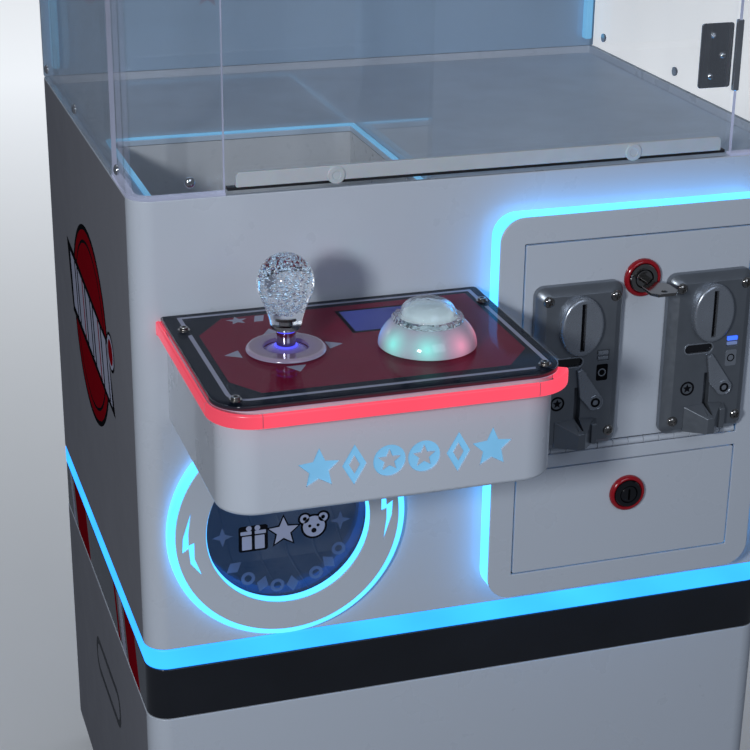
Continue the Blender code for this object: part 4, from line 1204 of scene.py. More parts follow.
def dome_look():
    """Milky plastic with eight small lamps behind it, each with its own colour."""
    look = surface("dome_milk", "milky_plastic", (0.47, 0.45, 0.53), 0.10, MILKY, 0.03, 60)
    total = (0.035, 0.03, 0.045)
    for i, colour in enumerate(DOME_LAMPS):
        a = radians(205.0 + 45 * i)
        spot = TO_WORLD @ Vector((BUTTON[0] + 29 * cos(a), BUTTON[1] + 29 * sin(a), BUTTON_TOP + 6.5))
        far = look.node("VectorMath", {0: look.where, 1: tuple(spot)}, operation="DISTANCE")
        near = look.ranged(far.outputs["Value"], 0.001, 0.017, 1, 0)
        total = look.mix(look.math("MULTIPLY", near, near), total, colour)
    look.put(look.shader, {"Emission Color": total, "Emission Strength": 1.0})
    return look


def crystal_ring():
    """An uneven, faceted clear ring round the plunger."""
    random.seed(11)
    shape = bmesh.new()
    rings = []
    profile = (21.5, 14.6), (22.3, 16.2), (20.9, 18.3), (18.6, 18.6), (18.4, 14.4)
    for k, (r, z) in enumerate(profile):
        ring = []
        for i in range(TURNS):
            a = tau * i / TURNS
            bump = random.uniform(-0.45, 0.45) if k in (1, 2) else 0
            x, y = BUTTON[0] + (r + bump) * cos(a), BUTTON[1] + (r + bump) * sin(a)
            ring.append(shape.verts.new((x, y, BUTTON_TOP + z + 1.6 * bump)))
        rings.append(ring)
    bridged(shape, rings + rings[:1])
    return shape


def make_button():
    """Milky dome with its barrel, crystal ring, and the plunger with its lens and tray, the tray glowing with
    painted light.
    """
    top = BUTTON_TOP
    foot = [(30.6 * cos(radians(a)), top + 22.4 * sin(radians(a))) for a in range(1, 44, 3)]
    shell = [(14.2, top), (30.2, top), *foot, (21.8, top + 15.7), (21.0, top + 15.5), (14.2, top + 5)]
    piece("button_dome", lathe(shell, BUTTON, "Z", 96), dome_look(), replaces="button_housing")
    barrel = tube(6.3, 13.9, span("button_housing", "z")[0], top - 0.05)
    piece("button_barrel", lathe(barrel, BUTTON, "Z", 48), BLACK)
    piece("button_crystal_ring", crystal_ring(), CRYSTAL, angle=8, even=False)

    # The tray's glow is painted light: it stands for the light inside the lit button.
    glow = {"Emission Color": (0.30, 0.36, 0.42, 1), "Emission Strength": 0.45}
    look = surface("dome_tray", "milky_plastic", (0.60, 0.66, 0.66), 0.25, glow, 0.05, 60)
    rise = [(5.7, 8.2), (18.4, 8.2), (18.8, 8.8), (18.6, 12.6), (17.0, 13.6), (16.6, 17.0)]
    rise += [(15.4, 20.4), (13.0, 22.6), (9.0, 24.3), (4.5, 25.1), (0, 25.3)]
    low = span("button_plunger", "z")[0]
    tray = [(0, low), (5.7, low), *((r, top + z) for r, z in rise)]
    piece("button_plunger_core", lathe(tray, BUTTON, "Z", 64), look, "button", "button_plunger")
    skirt = [(18.2, top + 14.2), (18.3, top + 17.6), (17.6, top + 18.2)]
    crown = [(17.3, 19.0), (17.0, 21.2), (15.9, 24.0), (13.5, 26.3), (10.0, 27.8), (5.0, 28.5)]
    crown = [(r, top + z) for r, z in crown]
    inner = [(max(r - 1.3, 0), z - 1.5) for r, z in reversed(crown)]
    lens = [*skirt, *smooth_line(crown, 3), (0.05, top + 28.6), (0.05, top + 27.1)]
    lens += [*smooth_line(inner, 3), (16.2, top + 14.4)]
    piece("button_lens", lathe(lens, BUTTON, "Z", 96), CRYSTAL, "button")
    box = softened(block(*spans("console_display")), 0.5)
    piece("button_display_box", box, BLACK, replaces="console_display")


# --- glass cabin -------------------------------------------------------------
GLASS_X, GLASS_LOW = span("front_glass_door", "x"), span("front_glass_door", "z")[0]
CABIN_TOP = span("side_glass_left", "z")[1]
CORNER_LEG = span("corner_glass_left", "x")[1]
CABIN_Z = (GAP, CABIN_TOP)
SHEET_OUT, SHEET_WALL = 0.5, 4.0
DOOR_GLASS_Y = span("front_glass_door", "y")
STRIP_FRONT = DOOR_GLASS_Y[0] - 3.4
HINGE_HEIGHTS = 70.0, 540.0


def bent(side, leg, outer, inner):
    """A sheet bent round a front corner, seen from above: its legs' reach, outside and inside."""
    line = [(outer, leg), *arc((CORNER, CORNER), CORNER - outer, 180, 270, 12), (leg, outer)]
    line += [(leg, inner), *arc((CORNER, CORNER), CORNER - inner, 270, 180, 12), (inner, leg)]
    return line if side == "left" else [(WIDTH - x, y) for x, y in line[::-1]]


def make_cabin_side(side):
    """Bent corner and side sheets with their trims, screws and the lines where the sheets meet; the bottom
    trim and those lines carry painted highlights.
    """
    outer, inner = SHEET_OUT, SHEET_OUT + SHEET_WALL
    xs, ys, _ = spans(f"side_glass_{side}")
    corner = plate([bent(side, CORNER_LEG, outer, inner)], *CABIN_Z, "Z", 0.4)
    piece(f"corner_acrylic_{side}", corner, PANE, replaces=f"corner_glass_{side}")
    sheet = plate([rounded(xs, ys, 0.1)], *CABIN_Z, "Z")
    piece(f"side_acrylic_{side}", sheet, PANE, replaces=f"side_glass_{side}")
    rim = bent(side, CORNER_LEG + 0.3, 0.2, inner + 2)
    # The bottom trim glows with a painted highlight; the top one is plain aluminium.
    ends = ("bottom", 0.2, 2.2, PAINTED_EDGE_HIGHLIGHT), ("top", CABIN_TOP - 8, CABIN_TOP - 0.2, ALUMINIUM)
    for end, low, high, look in ends:
        piece(f"corner_trim_{side}_{end}", plate([rim], low, high, "Z", 0.3), look)
    heights = (10.4, 305.0, CABIN_TOP - 22)
    screws(f"corner_screws_{side}", [(across(side, 38.9), 0.55, z) for z in heights], 3.6)
    out = across(side, SHEET_OUT + 0.05)
    places = [(out, 42.0, z) for z in heights]
    places += [(out, y, z) for y in (DEPTH - 24, 210.0) for z in (heights[0], heights[2])]
    screws(f"side_screws_{side}", places, 3.6, side)
    # Bright lines where the sheets meet: painted highlights.
    seam_highlights = block(about(across(side, CORNER_LEG - 0.2), 0.18), (outer + 0.4, inner - 0.4), CABIN_Z)
    seam_highlights = merged(seam_highlights, block(shrunk(xs, 0.4), about(CORNER_LEG + 0.55, 0.25), CABIN_Z))
    piece(f"corner_seam_highlights_{side}", seam_highlights, PAINTED_EDGE_HIGHLIGHT)


def make_front_door():
    """The door between the corner pieces, its bottom strip, knobs, hinges and lock."""
    front, back = DOOR_GLASS_Y
    pane_shape = plate([rounded(GLASS_X, span("front_glass_door", "z"), 3)], front, back, "Y", 0.4)
    piece("front_door_acrylic", pane_shape, PANE, "front_door", "front_glass_door")
    strip = plate([rounded((69.0, 411.0), (4.4, 14.2), 0.8, 3.4)], STRIP_FRONT, front - 0.1, "Y", 0.5)
    milky = {"Subsurface Weight": 0.3, "Subsurface Scale": 0.002}
    frosted = surface("frosted_strip", "milky_plastic", (0.60, 0.63, 0.66), 0.45, milky, 0.04, 60, 1500)
    piece("front_door_strip", strip, frosted, "front_door", "window_baffle")
    rail = rounded((64.0, 416.0), (GLASS_LOW - 0.2, GLASS_LOW + 2.0), 0.4)
    piece("front_door_rail", plate([rail], front - 0.6, back + 0.8, "Y", 0.3), BLACK, "front_door")
    head = [(0, 0.2), (6.0, 0.2), (6.0, -0.6), (5.4, -1.1), (3.0, -1.1), (2.6, -0.7), (0, -0.7)]
    head = [(r, STRIP_FRONT + y) for r, y in head]
    knobs = [lathe(head, (x, 7.9), "Y", 48) for x in (135.1, 344.9)]
    piece("front_door_knobs", merged(*knobs), frosted, "front_door")
    x = GLASS_X[1] + 0.3
    pins, leaves = [], []
    for z in HINGE_HEIGHTS:
        pin = [(0, z - 24), (2.3, z - 24), (2.6, z - 23.6), (2.6, z + 23.6), (2.3, z + 24), (0, z + 24)]
        pins.append(lathe(pin, (x, 1.6), "Z", 24))
        leaf = rounded((x - 27, x - 3), about(z, 22), 2)
        leaves.append(plate([leaf], front - 1.4, front - 0.1, "Y", 0.3))
    piece("front_door_hinge_pins", merged(*pins), CHROME, "cabinet")
    piece("front_door_hinge_leaves", merged(*leaves), STEEL_Z, "front_door")
    spots = (-18, -14), (-18, 14), (-10, 0)
    places = [(GLASS_X[1] + dx, front - 1.4, z + dz) for z in HINGE_HEIGHTS for dx, dz in spots]
    screws("front_door_hinge_screws", places, 2.0, body="front_door")
    at = (GLASS_X[0] + 16, 300.0)
    barrel = [(0, back + 9), (8.5, back + 9), (8.5, front - 0.2), (10.5, front - 0.2), (10.5, front - 2.0)]
    barrel += [(9.3, front - 3.4), (5.4, front - 3.4), (5.2, front - 2.9), (0, front - 2.9)]
    keyway = block(about(at[0], 0.7), (front - 5, front), about(at[1], 3.8))
    piece("front_door_lock", less(lathe(barrel, at, "Y", 48), keyway), CHROME, "front_door")


def make_cabin_back():
    """The back wall with its printed stars, screws and the two corner lamps."""
    _, ys, zs = spans("cabin_back_wall")
    look = surface("cabin_backdrop", "white_paint", (0.42, 0.55, 0.70), 0.12, COAT, 0.06, 3, 500)
    wall = plate([rounded((0.6, WIDTH - 0.6), zs, 1)], *ys, "Y", 0.5)
    piece("cabin_back_panel", wall, look, replaces="cabin_back_wall")
    film = []
    random.seed(3)
    for row in range(6):
        for column in range(5):
            spot = (48 + 96 * column + (24 if row % 2 else -8), 60 + 92 * row)
            size = 9 + 5 * random.random()
            if (row + column) % 2:
                shape = star(spot, size, size * 0.42, 5, 90 + random.uniform(-20, 20))
            else:
                shape = circle(spot, size * 0.4, 20)
            film.append(plate([shape], ys[0] - 0.12, ys[0] - 0.02))
    piece("cabin_back_stars", merged(*film), LAVENDER, even=False)
    places = [(x, DEPTH - 0.1, z) for x in (20, WIDTH / 2, WIDTH - 20) for z in (20, 300, 590)]
    screws("cabin_back_screws", places, 3.0, "back", look=STEEL)
    tubes = [rounded(about(across(side, 9.5), 3), (DEPTH - 14, DEPTH - 5), 1.5) for side in SIDES]
    tubes = [plate([outline], 8, CABIN_TOP - 6, "Z", 0.5) for outline in tubes]
    piece("cabin_corner_lamps", merged(*tubes), CYAN_SOFT)


def make_playfield():
    """The deck with its chute hole and lit collar, the clear guard and the ribs on the ramp."""
    deck_z = span("playfield_deck", "z")
    inner = rounded((4.3, WIDTH - 4.3), (4.3, DEPTH - 4.3), 11.7, 1.5, 10)
    cx, cy = shrunk(span("prize_chute", "x"), 3), (12.0, span("prize_chute", "y")[1] - 3)
    deck = plate([inner, rounded(cx, cy, 2)], *deck_z, "Z", 0.4)
    sheen = {"Sheen Weight": 0.3}
    felt = surface("deck_felt", "white_plastic", (0.50, 0.60, 0.72), 0.55, sheen, 0.06, 30, 1100, 0.00004)
    piece("playfield_floor", deck, felt, replaces="playfield_deck")
    rings = [rounded(shrunk(cx, by), shrunk(cy, by), radius) for by, radius in ((-3.5, 3), (0.3, 2))]
    piece("chute_collar", plate(rings, deck_z[1] + 0.1, deck_z[1] + 1.6, "Z", 0.4), CYAN_SOFT)
    gx, gy, gz = spans("chute_guard")
    ell = [(gx[1] - 3, gy[0]), (gx[1], gy[0]), (gx[1], gy[1])]
    ell += [(gx[0], gy[1]), (gx[0], gy[1] - 3), (gx[1] - 3, gy[1] - 3)]
    piece("chute_guard_acrylic", plate([ell], *gz, "Z", 0.4), PANE, replaces="chute_guard")
    top = (gz[1] - 0.6, gz[1] - 0.1)
    side_cap = block((gx[1] - 2.7, gx[1] - 0.3), shrunk(gy, 0.4), top)
    back_cap = block(shrunk(gx, 0.4), (gy[1] - 2.7, gy[1] - 0.3), top)
    # The guard's top edges glow with a painted highlight.
    piece("chute_guard_edge_highlights", merged(side_cap, back_cap), PAINTED_EDGE_HIGHLIGHT)
    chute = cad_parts["prize_chute"]
    chute.material_slots[0].material = PLASTIC.material
    ramp_y = span("prize_chute", "y")
    slope = (ramp_y[0] + 6, -299.2), (70, -299.2), (ramp_y[1] - 4, -246)
    ribs = [rod([(x, y, z) for y, z in slope], 0.9, 8) for x in range(36, 184, 21)]
    piece("chute_ribs", merged(*ribs), PLASTIC)


# --- canopy ------------------------------------------------------------------
MARQUEE_X, MARQUEE_Y, MARQUEE_Z = spans("marquee_panel")
MARQUEE_MIDDLE_X, MARQUEE_MIDDLE_Z = sum(MARQUEE_X) / 2, sum(MARQUEE_Z) / 2
MARQUEE_STARS = (70, 20), (112, 15), (146, 11), (174, 8)


def make_canopy():
    """Walls, lid, a seam on the glass and a round-cornered grille in the lid, over a dark sheet of painted
    shade.
    """
    low, high = span("canopy_box", "z")
    walls = cabinet_tube(low, high - 3.4, bevel=0.6)
    opening = block(shrunk(MARQUEE_X, -GAP), (-5, 6), shrunk(MARQUEE_Z, -GAP))
    piece("canopy_walls", less(walls, opening), PAINT, replaces="canopy_box")
    piece("canopy_lid", plate([cabinet_outline()], high - 4.4, high, "Z", 1.6, 4), PAINT)
    seam = plate([cabinet_outline(0.6), cabinet_outline(4.0)], low, low + 0.9, "Z", 0.1)
    piece("canopy_seam", seam, BLACK)
    places = [(x, y, high - 0.1) for x in (26, WIDTH / 2, WIDTH - 26) for y in (26, DEPTH - 26)]
    screws("canopy_lid_screws", places, 3.4, "up", look=STEEL)
    middle_x, middle_y = WIDTH / 2, DEPTH / 2
    starts = range(int(middle_y) - 42, int(middle_y) + 43, 12)
    slots = [rounded(about(middle_x, 46), about(y, 2), 1.9) for y in starts]
    rim = rounded(about(middle_x, 60), about(middle_y, 60), 20)
    piece("canopy_grille", plate([rim, *slots], high - 1.2, high - 0.05, "Z", 0.3), STEEL)
    # A dark sheet under the grille's slots: painted shade for the dark inside.
    ground = rounded(about(middle_x, 52), about(middle_y, 52), 14)
    piece("canopy_grille_painted_shade", plate([ground], high - 0.9, high - 0.75, "Z"), INK, even=False)


def make_marquee():
    """A lit red sheet in a cyan frame, with a row of stars between two pale lines."""
    sign = lit("marquee_print", "panel_print", (0.9, 0.2, 0.3), (0.55, 0.035, 0.08), 0.75, 0.12, 0.08)
    sheet = plate([rounded(MARQUEE_X, MARQUEE_Z, 1.2)], *MARQUEE_Y, "Y", 0.4)
    piece("marquee_sheet", sheet, sign, replaces="marquee_panel")
    y = MARQUEE_Y[0]
    rims = ((-4.0, 6), (3.0, 4))
    rims = [rounded(shrunk(MARQUEE_X, by), shrunk(MARQUEE_Z, by), radius) for by, radius in rims]
    piece("marquee_frame", plate(rims, y - 0.35, y + 0.3, "Y", 0.12), CYAN)

    x, z = MARQUEE_MIDDLE_X, MARQUEE_MIDDLE_Z
    prints = [[star((x, z - 1), 46, 20), star((x, z - 1), 38, 16.4)], [star((x, z - 1), 30, 13)]]
    for way in (-1, 1):
        for i, (dx, size) in enumerate(MARQUEE_STARS):
            points, waist = (4, 0.3) if i % 2 else (5, 0.45)
            prints.append([star((x + way * dx, z), size, size * waist, points)])
        for dz in (-48, 48):
            prints.append([rounded(sorted((x + way * 40, x + way * 188)), about(z + dz, 1.2), 1.1)])
    shapes = [plate(outlines, y - 0.15, y + 0.05) for outlines in prints]
    white = lit("marquee_white", "panel_print", (0.9, 0.9, 0.9), (0.75, 0.80, 0.90), 1.0, 0.2, 0.05)
    piece("marquee_stars", merged(*shapes), white)
    lamp = plate([rounded((30, WIDTH - 30), (20, 32), 2)], CABIN_TOP + 0.6, CABIN_TOP + 4, "Z", 0.4)
    lamp_look = lit("cabin_lamp_white", "cyan_light", (0.9, 0.95, 1), (0.70, 0.85, 1.0), 5.0, 0.3, 0.04)
    piece("cabin_lamp", lamp, lamp_look)


# --- crane -------------------------------------------------------------------
CLAW = middle("claw_hub", "xy")
RAIL_LIP, RAIL_WEB = 2.0, 2.2


def make_rail(side):
    """A lipped channel that opens towards the middle, with the bridge's two wheels in it."""
    xs, ys, (low, high) = spans(f"gantry_rail_{side}")
    way = 1 if side == "left" else -1
    back, front = xs if side == "left" else xs[::-1]
    lip, web = front - way * RAIL_LIP, back + way * RAIL_WEB
    half = [(back, 0), (front, 0), (front, 2 * RAIL_LIP), (lip, 2 * RAIL_LIP)]
    half += [(lip, RAIL_LIP), (web, RAIL_LIP)]
    channel = [(x, low + z) for x, z in half] + [(x, high - z) for x, z in half[::-1]]
    shape = softened(prism(channel, *ys, "Y"), 0.3, 1)
    piece(f"rail_channel_{side}", shape, STEEL, replaces=f"gantry_rail_{side}")
    x, z = sum(xs) / 2, (low + high) / 2
    wheel = [(0, x - 3), (4.6, x - 3), (5.0, x - 2.5), (4.2, x), (5.0, x + 2.5), (4.6, x + 3), (0, x + 3)]
    wheels = [lathe(wheel, (CLAW[1] + dy, z), "X", 32) for dy in (-11.5, 11.5)]
    piece(f"bridge_wheels_{side}", merged(*wheels), BLACK, "bridge")


def make_bridge():
    """Two beams between end blocks, with screws and a belt."""
    xs, ys, zs = spans("gantry_bridge")
    bars = [softened(block(xs, (a, a + 7), zs), 0.8) for a in (ys[0], ys[1] - 7)]
    ends = [softened(block((a, a + 12), shrunk(ys, 1), shrunk(zs, 1.2)), 0.8) for a in (xs[0], xs[1] - 12)]
    piece("bridge_beams", merged(*bars), STEEL, "bridge", "gantry_bridge")
    piece("bridge_ends", merged(*ends), BLACK, "bridge")
    places = [(x, y, zs[1] - 1.3) for x in shrunk(xs, 6) for y in shrunk(ys, 10)]
    screws("bridge_screws", places, 2.2, "up", "bridge")
    belt = [block(shrunk(xs, 14), about(sum(ys) / 2, 2.5), (z, z + 1.0)) for z in (zs[0] + 2, zs[1] - 3)]
    piece("bridge_belt", merged(*belt), RUBBER, "bridge")


def make_trolley():
    """A carriage in two halves round the bridge, with cover, motor, screws and cable guide."""
    xs, ys, zs = spans("trolley")
    halves = [softened(block(xs, ys, height, 3), 1.0) for height in ((zs[0], 631.4), (648.7, zs[1]))]
    cheeks = (ys[0] + 0.8, ys[0] + 9.4), (ys[1] - 9.4, ys[1] - 0.8)
    sides = [softened(block(shrunk(xs, 4), cheek, (630, 650)), 0.5) for cheek in cheeks]
    piece("trolley_body", merged(*halves, *sides), BLACK, "trolley", "trolley")
    cover = softened(block(shrunk(xs, 7), (ys[0] - 0.6, ys[0] + 1), (zs[0] + 5, 626)), 0.4)
    piece("trolley_cover", cover, STEEL, "trolley")
    near, far = xs
    motor = [(0, near + 8), (8.6, near + 8), (9.2, near + 9), (9.2, far - 20)]
    motor += [(8.4, far - 19), (3, far - 18), (3, far - 10), (0, far - 10)]
    piece("trolley_motor", lathe(motor, (ys[1] - 2, zs[0] + 14), "X", 40), STEEL, "trolley")
    places = [(x, ys[0] - 0.6, z) for x in shrunk(xs, 12) for z in (zs[0] + 9, 622)]
    screws("trolley_screws", places, 1.8, body="trolley")
    low = zs[0]
    guide = [(3.4, low - 0.2), (7, low - 0.2), (7.5, low + 0.4), (7.5, low + 3), (3.4, low + 3)]
    piece("trolley_cable_guide", lathe(guide, CLAW, "Z", 40), CHROME, "trolley")


def make_cable():
    """Three strands twisted three times round, from the trolley down to the claw."""
    bottom, top = span("claw_cable", "z")
    strands, steps = [], 72
    for phase in (0, 120, 240):
        path = []
        for i in range(steps + 1):
            t = i / steps
            a = radians(phase + 1080 * t)
            z = bottom - 1 + (top + 2 - bottom) * t
            path.append((CLAW[0] + 1.1 * cos(a), CLAW[1] + 1.1 * sin(a), z))
        strands.append(rod(path, 1.25, 8))
    cable = piece("claw_rope", merged(*strands), BLACK, None, "claw_cable")
    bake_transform(cable)


def make_claw_hub():
    """Domed solenoid housing with a red band, and its plunger below."""
    low, high = span("claw_hub", "z")
    dome = [(27 * cos(radians(a)), high - 16 + 12 * sin(radians(a))) for a in range(0, 76, 12)]
    side = [(0, 14), (19.5, 14), (20.5, 14.6), (26.4, 21), (27, 22.5)]
    side += [(27, 27), (26.2, 27.6), (26.2, 30), (27, 30.6)]
    profile = [(r, low + z) for r, z in side]
    profile += [(27, high - 17), *dome, (6, high - 3.4), (4, high), (0, high)]
    piece("claw_dome", lathe(profile, CLAW, "Z", 72), CHROME, "claw", "claw_hub")
    plunger = [(0, 0), (8.6, 0), (9.6, 1), (9.6, 9), (10.4, 10), (10.4, 14.4), (0, 14.4)]
    plunger = lathe([(r, low + z) for r, z in plunger], CLAW, "Z", 48)
    piece("claw_plunger", plunger, STEEL, "claw")
    band = [(26.1, low + 27.9), (26.9, low + 28.2), (26.9, low + 29.5), (26.1, low + 29.8)]
    piece("claw_band", lathe(band, CLAW, "Z", 72), RED, "claw")


PRONG = [(24, 465), (33, 452), (40.5, 438), (43, 425), (39.5, 412), (31, 396), (20.5, 381), (11.5, 369.5)]
PRONG_PIVOT = (24.0, 464.0)


def prong_outline():
    """The bent prong seen from the side: a smooth line that narrows towards its tip."""
    line = smooth_line(PRONG, 5)
    inner, outer = [], []
    for i, (r, z) in enumerate(line):
        a, b = line[max(i - 1, 0)], line[min(i + 1, len(line) - 1)]
        dr, dz = b[0] - a[0], b[1] - a[1]
        length = hypot(dr, dz)
        half = 4.0 - 2.2 * i / len(line)
        outer.append((r - dz / length * half, z + dr / length * half))
        inner.append((r + dz / length * half, z - dr / length * half))
    return [*outer, *inner[::-1]]


def make_prongs():
    """Three prongs with boss and pad, each between two lugs on its own pin."""
    for i in range(3):
        turn = 120 * i - 90

        def set_round(shape):
            return moved(moved(shape, angle=turn), (*CLAW, 0))

        blade = plate([prong_outline()], -3.4, 3.4, "Y", 1.0, 3)
        boss = lathe([(0, -4), (4.6, -4), (5, -3.6), (5, 3.6), (4.6, 4), (0, 4)], PRONG_PIVOT, "Y", 32)
        foot, top = rounded((8.2, 12.5), (-6.5, 6.5), 1.5), rounded((15.5, 19), (-5, 5), 1.5)
        pad = softened(loft(((foot, 368.5), (top, 381))), 0.7)
        prong = set_round(merged(blade, boss, pad))
        piece(f"claw_prong_{i + 1}", prong, CHROME, f"finger_{i + 1}", f"claw_finger_{i + 1}")
        lugs = [softened(block((17, 27.5), about(y, 1.2), (459, 485)), 0.5) for y in (-5.6, 5.6)]
        piece(f"claw_lugs_{i + 1}", set_round(merged(*lugs)), STEEL, "claw")
        pin = lathe(tube(0, 1.9, -7.6, 7.6), PRONG_PIVOT, "Y", 24)
        piece(f"claw_pin_{i + 1}", set_round(pin), CHROME, "claw")


# --- base and back -----------------------------------------------------------
def make_feet():
    """Rubber pads on threaded stems with hexagonal nuts."""
    for node in ("foot_front_left", "foot_front_right", "foot_back_left", "foot_back_right"):
        at, (low, high) = middle(node, "xy"), span(node, "z")
        pad = [(0, 0), (18.8, 0), (20, 1.2), (20, 4.5), (18.5, 7.5), (16.2, 11.6), (15, 12), (0, 12)]
        pad = lathe([(r, low + z) for r, z in pad], at, "Z", 56)
        piece(f"{node}_pad", pad, RUBBER, replaces=node)
        threads = []
        for i in range(7):
            z = low + 12 + i * 2.4
            threads += [(5.6, z), (6.6, z + 1.2)]
        stem = lathe([(0, low + 11.9), *threads, (5.6, high), (0, high)], at, "Z", 32)
        nut = softened(prism(circle(at, 11, 6), low + 16.5, low + 22.5), 0.5)
        piece(f"{node}_stem", merged(stem, nut), STEEL)


def make_inlet():
    """The power inlet: a recessed body with three pins, in a bezel held by two screws."""
    xs, (_, back), zs = spans("power_inlet")
    recess = block(shrunk(xs, 3.5), (back - 17, back + 5), shrunk(zs, 3.5))
    body = less(block(*spans("power_inlet"), 0.5), recess)
    piece("inlet_body", softened(body, 0.5), BLACK, replaces="power_inlet")
    x, z = middle("power_inlet", "xz")
    pins = []
    for dx, dz in ((-7, -2), (7, -2), (0, 3.5)):
        pin = block(about(x + dx, 2), (back - 18, back - 4), about(z + dz, 1))
        pins.append(softened(pin, 0.4))
    piece("inlet_pins", merged(*pins), CHROME)
    frame_xs = shrunk(xs, -9)
    outlines = [rounded(frame_xs, shrunk(zs, -5), 3), rounded(shrunk(xs, -0.2), shrunk(zs, -0.2), 0.6)]
    piece("inlet_bezel", plate(outlines, DEPTH - 0.5, DEPTH - 0.02, "Y", 0.15), GLOSS_BLACK)
    screws("inlet_screws", [(x, DEPTH - 1.3, z) for x in shrunk(frame_xs, 4.2)], 2.2, "back")


def grille(name, xs, zs, rows=7, body="cabinet"):
    """A slotted plate on the back, over a dark sheet of painted shade for the dark inside."""
    pitch = (zs[1] - zs[0]) / rows
    slots = [stadium(shrunk(xs, 8), about(zs[0] + pitch * (i + 0.5), pitch * 0.22)) for i in range(rows)]
    piece(name, plate([rounded(xs, zs, 4), *slots], DEPTH - 0.5, DEPTH - 0.02, "Y", 0.15), STEEL, body)
    # The dark sheet behind the slots is painted shade.
    dark = plate([rounded(shrunk(xs, 5), shrunk(zs, 3), 3)], DEPTH - 0.2, DEPTH - 0.1)
    piece(f"{name}_dark", dark, INK, body, even=False)


def make_back():
    """Grilles, service door with its lock and hinges, and the back's screws."""
    grille("base_grille", (70.0, 210.0), (-545.0, -475.0))
    door_x, _, door_z = spans("service_door")
    door = plate([rounded(door_x, door_z, 1.5)], DEPTH - 4, DEPTH - 0.6, "Y", 0.5)
    piece("service_door_leaf", door, PAINT, "service_door", "service_door")
    grille("service_grille", (150.0, 330.0), (-200.0, -110.0), 8, "service_door")
    centre = (door_x[1] - 20, -175.0)
    ring = [(0, -0.7), (8.8, -0.7), (8.8, -0.25), (8.4, -0.02), (0, -0.02)]
    ring = lathe([(r, DEPTH + y) for r, y in ring], centre, "Y", 56)
    ring = less(ring, block(about(centre[0], 0.7), (DEPTH - 0.4, DEPTH + 2), about(centre[1], 4)))
    piece("service_door_lock", ring, CHROME, "service_door")
    axis = (door_x[0] + 0.2, DEPTH - 2.7)
    pins = [lathe(tube(0, 2.4, z - 20, z + 20), axis, "Z", 24) for z in (-260, -90)]
    piece("service_door_hinges", merged(*pins), STEEL_Z, "service_door")
    places = [(x, DEPTH - 1.0, z) for x in (20, WIDTH - 20) for z in (-310, -175, -20)]
    screws("back_screws", places, 1.5, "back", look=STEEL)


def make_handles():
    """Carrying recesses in the base's sides, each a rim round a shallow cup."""
    rims = [rounded((130, 240), (-470, -436), 15), rounded((136, 234), (-464, -442), 10)]
    for side in SIDES:
        near, far = sorted((across(side, 0.02), across(side, 0.5)))
        piece(f"{side}_handle_rim", plate(rims, near, far, "X", 0.2), BLACK)
        cup = plate([rounded((134, 236), (-466, -440), 11)], near + 0.1, far - 0.1, "X", 0.05)
        piece(f"{side}_handle_cup", cup, GLOSS_BLACK)


# --- stage -------------------------------------------------------------------
def soft_light(name, at, aim, size, power, colour=(1, 1, 1)):
    """A rectangular lamp turned towards a point; the camera doesn't see it."""
    data = bpy.data.lights.new(name, "AREA")
    data.shape, data.size, data.size_y = "RECTANGLE", size[0], size[1]
    data.energy, data.color = power, colour
    made = bpy.data.objects.new(name, data)
    SCENE.collection.objects.link(made)
    made.location = at
    made.visible_camera = False
    made.rotation_euler = (Vector(aim) - Vector(at)).to_track_quat("-Z", "Y").to_euler()


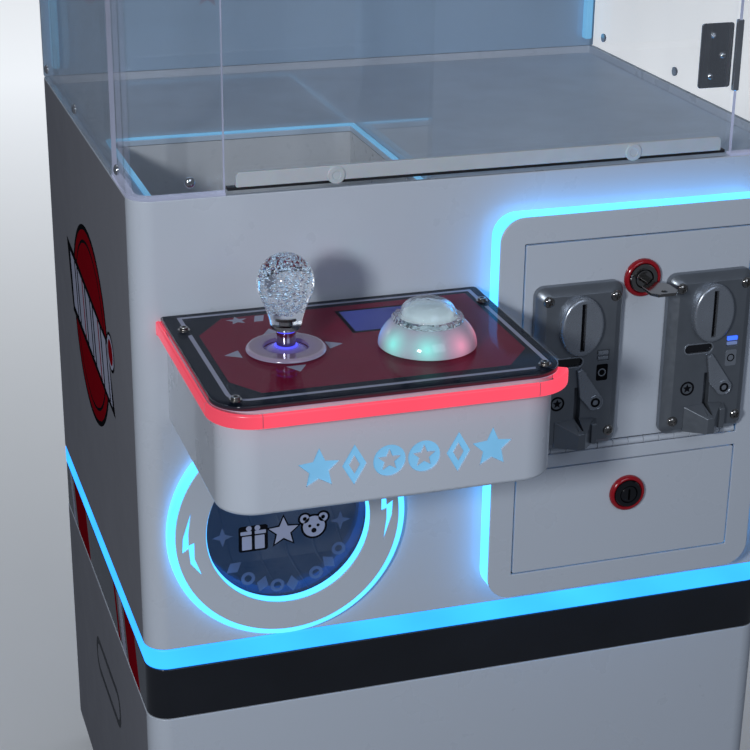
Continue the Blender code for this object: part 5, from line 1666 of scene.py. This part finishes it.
def make_stage():
    """A round pale floor that sweeps up into a wall far off, glowing with painted light more the farther from
    the machine, and soft studio lamps.
    """
    floor_look = surface("pale_floor", None, (0.62, 0.63, 0.65), 0.5, None, 0.01, 1.5, 200)
    # Painted light: the floor glows, dim near the machine and brighter far off.
    far = floor_look.ranged(around(floor_look, (WIDTH / 2, DEPTH / 2)), 250, 2900, 0.08, 0.78)
    floor_look.put(floor_look.shader, {"Emission Color": (0.94, 0.97, 1.0, 1), "Emission Strength": far})
    floor_z, flat, sweep, steps = -DATUM.z * 1000 - 0.5, 7500, 1500, 96
    turns = [radians(a) for a in range(0, 91, 6)]
    profile = [(0.01, 0), (900, 0), (3000, 0)]
    profile += [(flat + sweep * sin(a), sweep * (1 - cos(a))) for a in turns] + [(flat + sweep, 6000)]
    shape = bmesh.new()
    rings = []
    for radius, z in profile:
        line = circle((WIDTH / 2, DEPTH / 2), radius, steps)
        rings.append([shape.verts.new(TO_WORLD @ Vector((x, y, floor_z + z))) for x, y in line])
    bridged(shape, rings)
    mesh = bpy.data.meshes.new("floor")
    shape.to_mesh(mesh)
    shape.free()
    mesh.materials.append(floor_look.material)
    mesh.shade_smooth()
    floor = bpy.data.objects.new("floor", mesh)
    floor.visible_glossy = floor.visible_diffuse = False
    SCENE.collection.objects.link(floor)

    world = bpy.data.worlds.new("studio")
    world.use_nodes = True
    sky = world.node_tree.nodes["Background"].inputs
    sky["Color"].default_value = (0.72, 0.82, 1.0, 1)
    sky["Strength"].default_value = 0.11
    SCENE.world = world
    soft_light("key", (-0.99, -1.344, 1.055), (-0.16, -0.19, 0.59), (0.16, 0.16), 12.2, (0.90, 0.95, 1.0))
    soft_light("fill", (0.3, -2.4, 1.8), (0.0, 0, 0.6), (1.3, 1.3), 8.5, (0.74, 0.84, 1.0))
    soft_light("top", (0.3, 0.6, 2.8), (0, 0, 1.0), (1.6, 1.2), 7, (0.85, 0.92, 1.0))
    soft_light("back", (0.9, 3.2, 1.9), (0, 0, 0.7), (1.2, 1.2), 12, (0.88, 0.94, 1.0))


CAMERA_AT = DATUM + Vector((-0.1908, -1.0800, 0.3268))


def make_camera():
    """The viewing angle: a little from the left and above, level with the console."""
    data = bpy.data.cameras.new("camera")
    data.lens, data.sensor_width = 87.07, 36
    data.clip_start = 0.05
    camera = bpy.data.objects.new("camera", data)
    SCENE.collection.objects.link(camera)
    yaw, pitch, roll = radians(-18.11), radians(22.05), radians(0.69)
    right = Vector((cos(yaw), sin(yaw), 0))
    ahead = Vector((-sin(yaw) * cos(pitch), cos(yaw) * cos(pitch), -sin(pitch)))
    up = right.cross(ahead)
    rows = right * cos(roll) + up * sin(roll), up * cos(roll) - right * sin(roll), -ahead
    camera.matrix_world = Matrix.Translation(CAMERA_AT) @ Matrix(rows).transposed().to_4x4()
    SCENE.camera = camera


def main():
    SCENE.view_settings.view_transform = "Standard"
    make_cabinet()
    make_side_films()
    make_side_graphics()
    make_outlet()
    make_flap()
    make_plate()
    make_coin_door()
    make_acceptors()
    lock("coin_lock", COIN_LOCK, "coin_door", CHROME_PAINTED_SHADE, upright=False)
    lock("cash_lock", CASH_LOCK, "cash_drawer", GLOSS_BLACK, upright=True)
    make_key()
    make_cash_drawer()
    make_console()
    make_pink_band()
    make_slab()
    make_stick_disc()
    make_stick_shaft()
    make_knob()
    make_stick_box()
    make_button()
    for side in SIDES:
        make_cabin_side(side)
    make_front_door()
    make_cabin_back()
    make_playfield()
    make_canopy()
    make_marquee()
    for side in SIDES:
        make_rail(side)
    make_bridge()
    make_trolley()
    make_cable()
    make_claw_hub()
    make_prongs()
    make_feet()
    make_inlet()
    make_back()
    make_handles()
    make_stage()
    make_camera()


main()
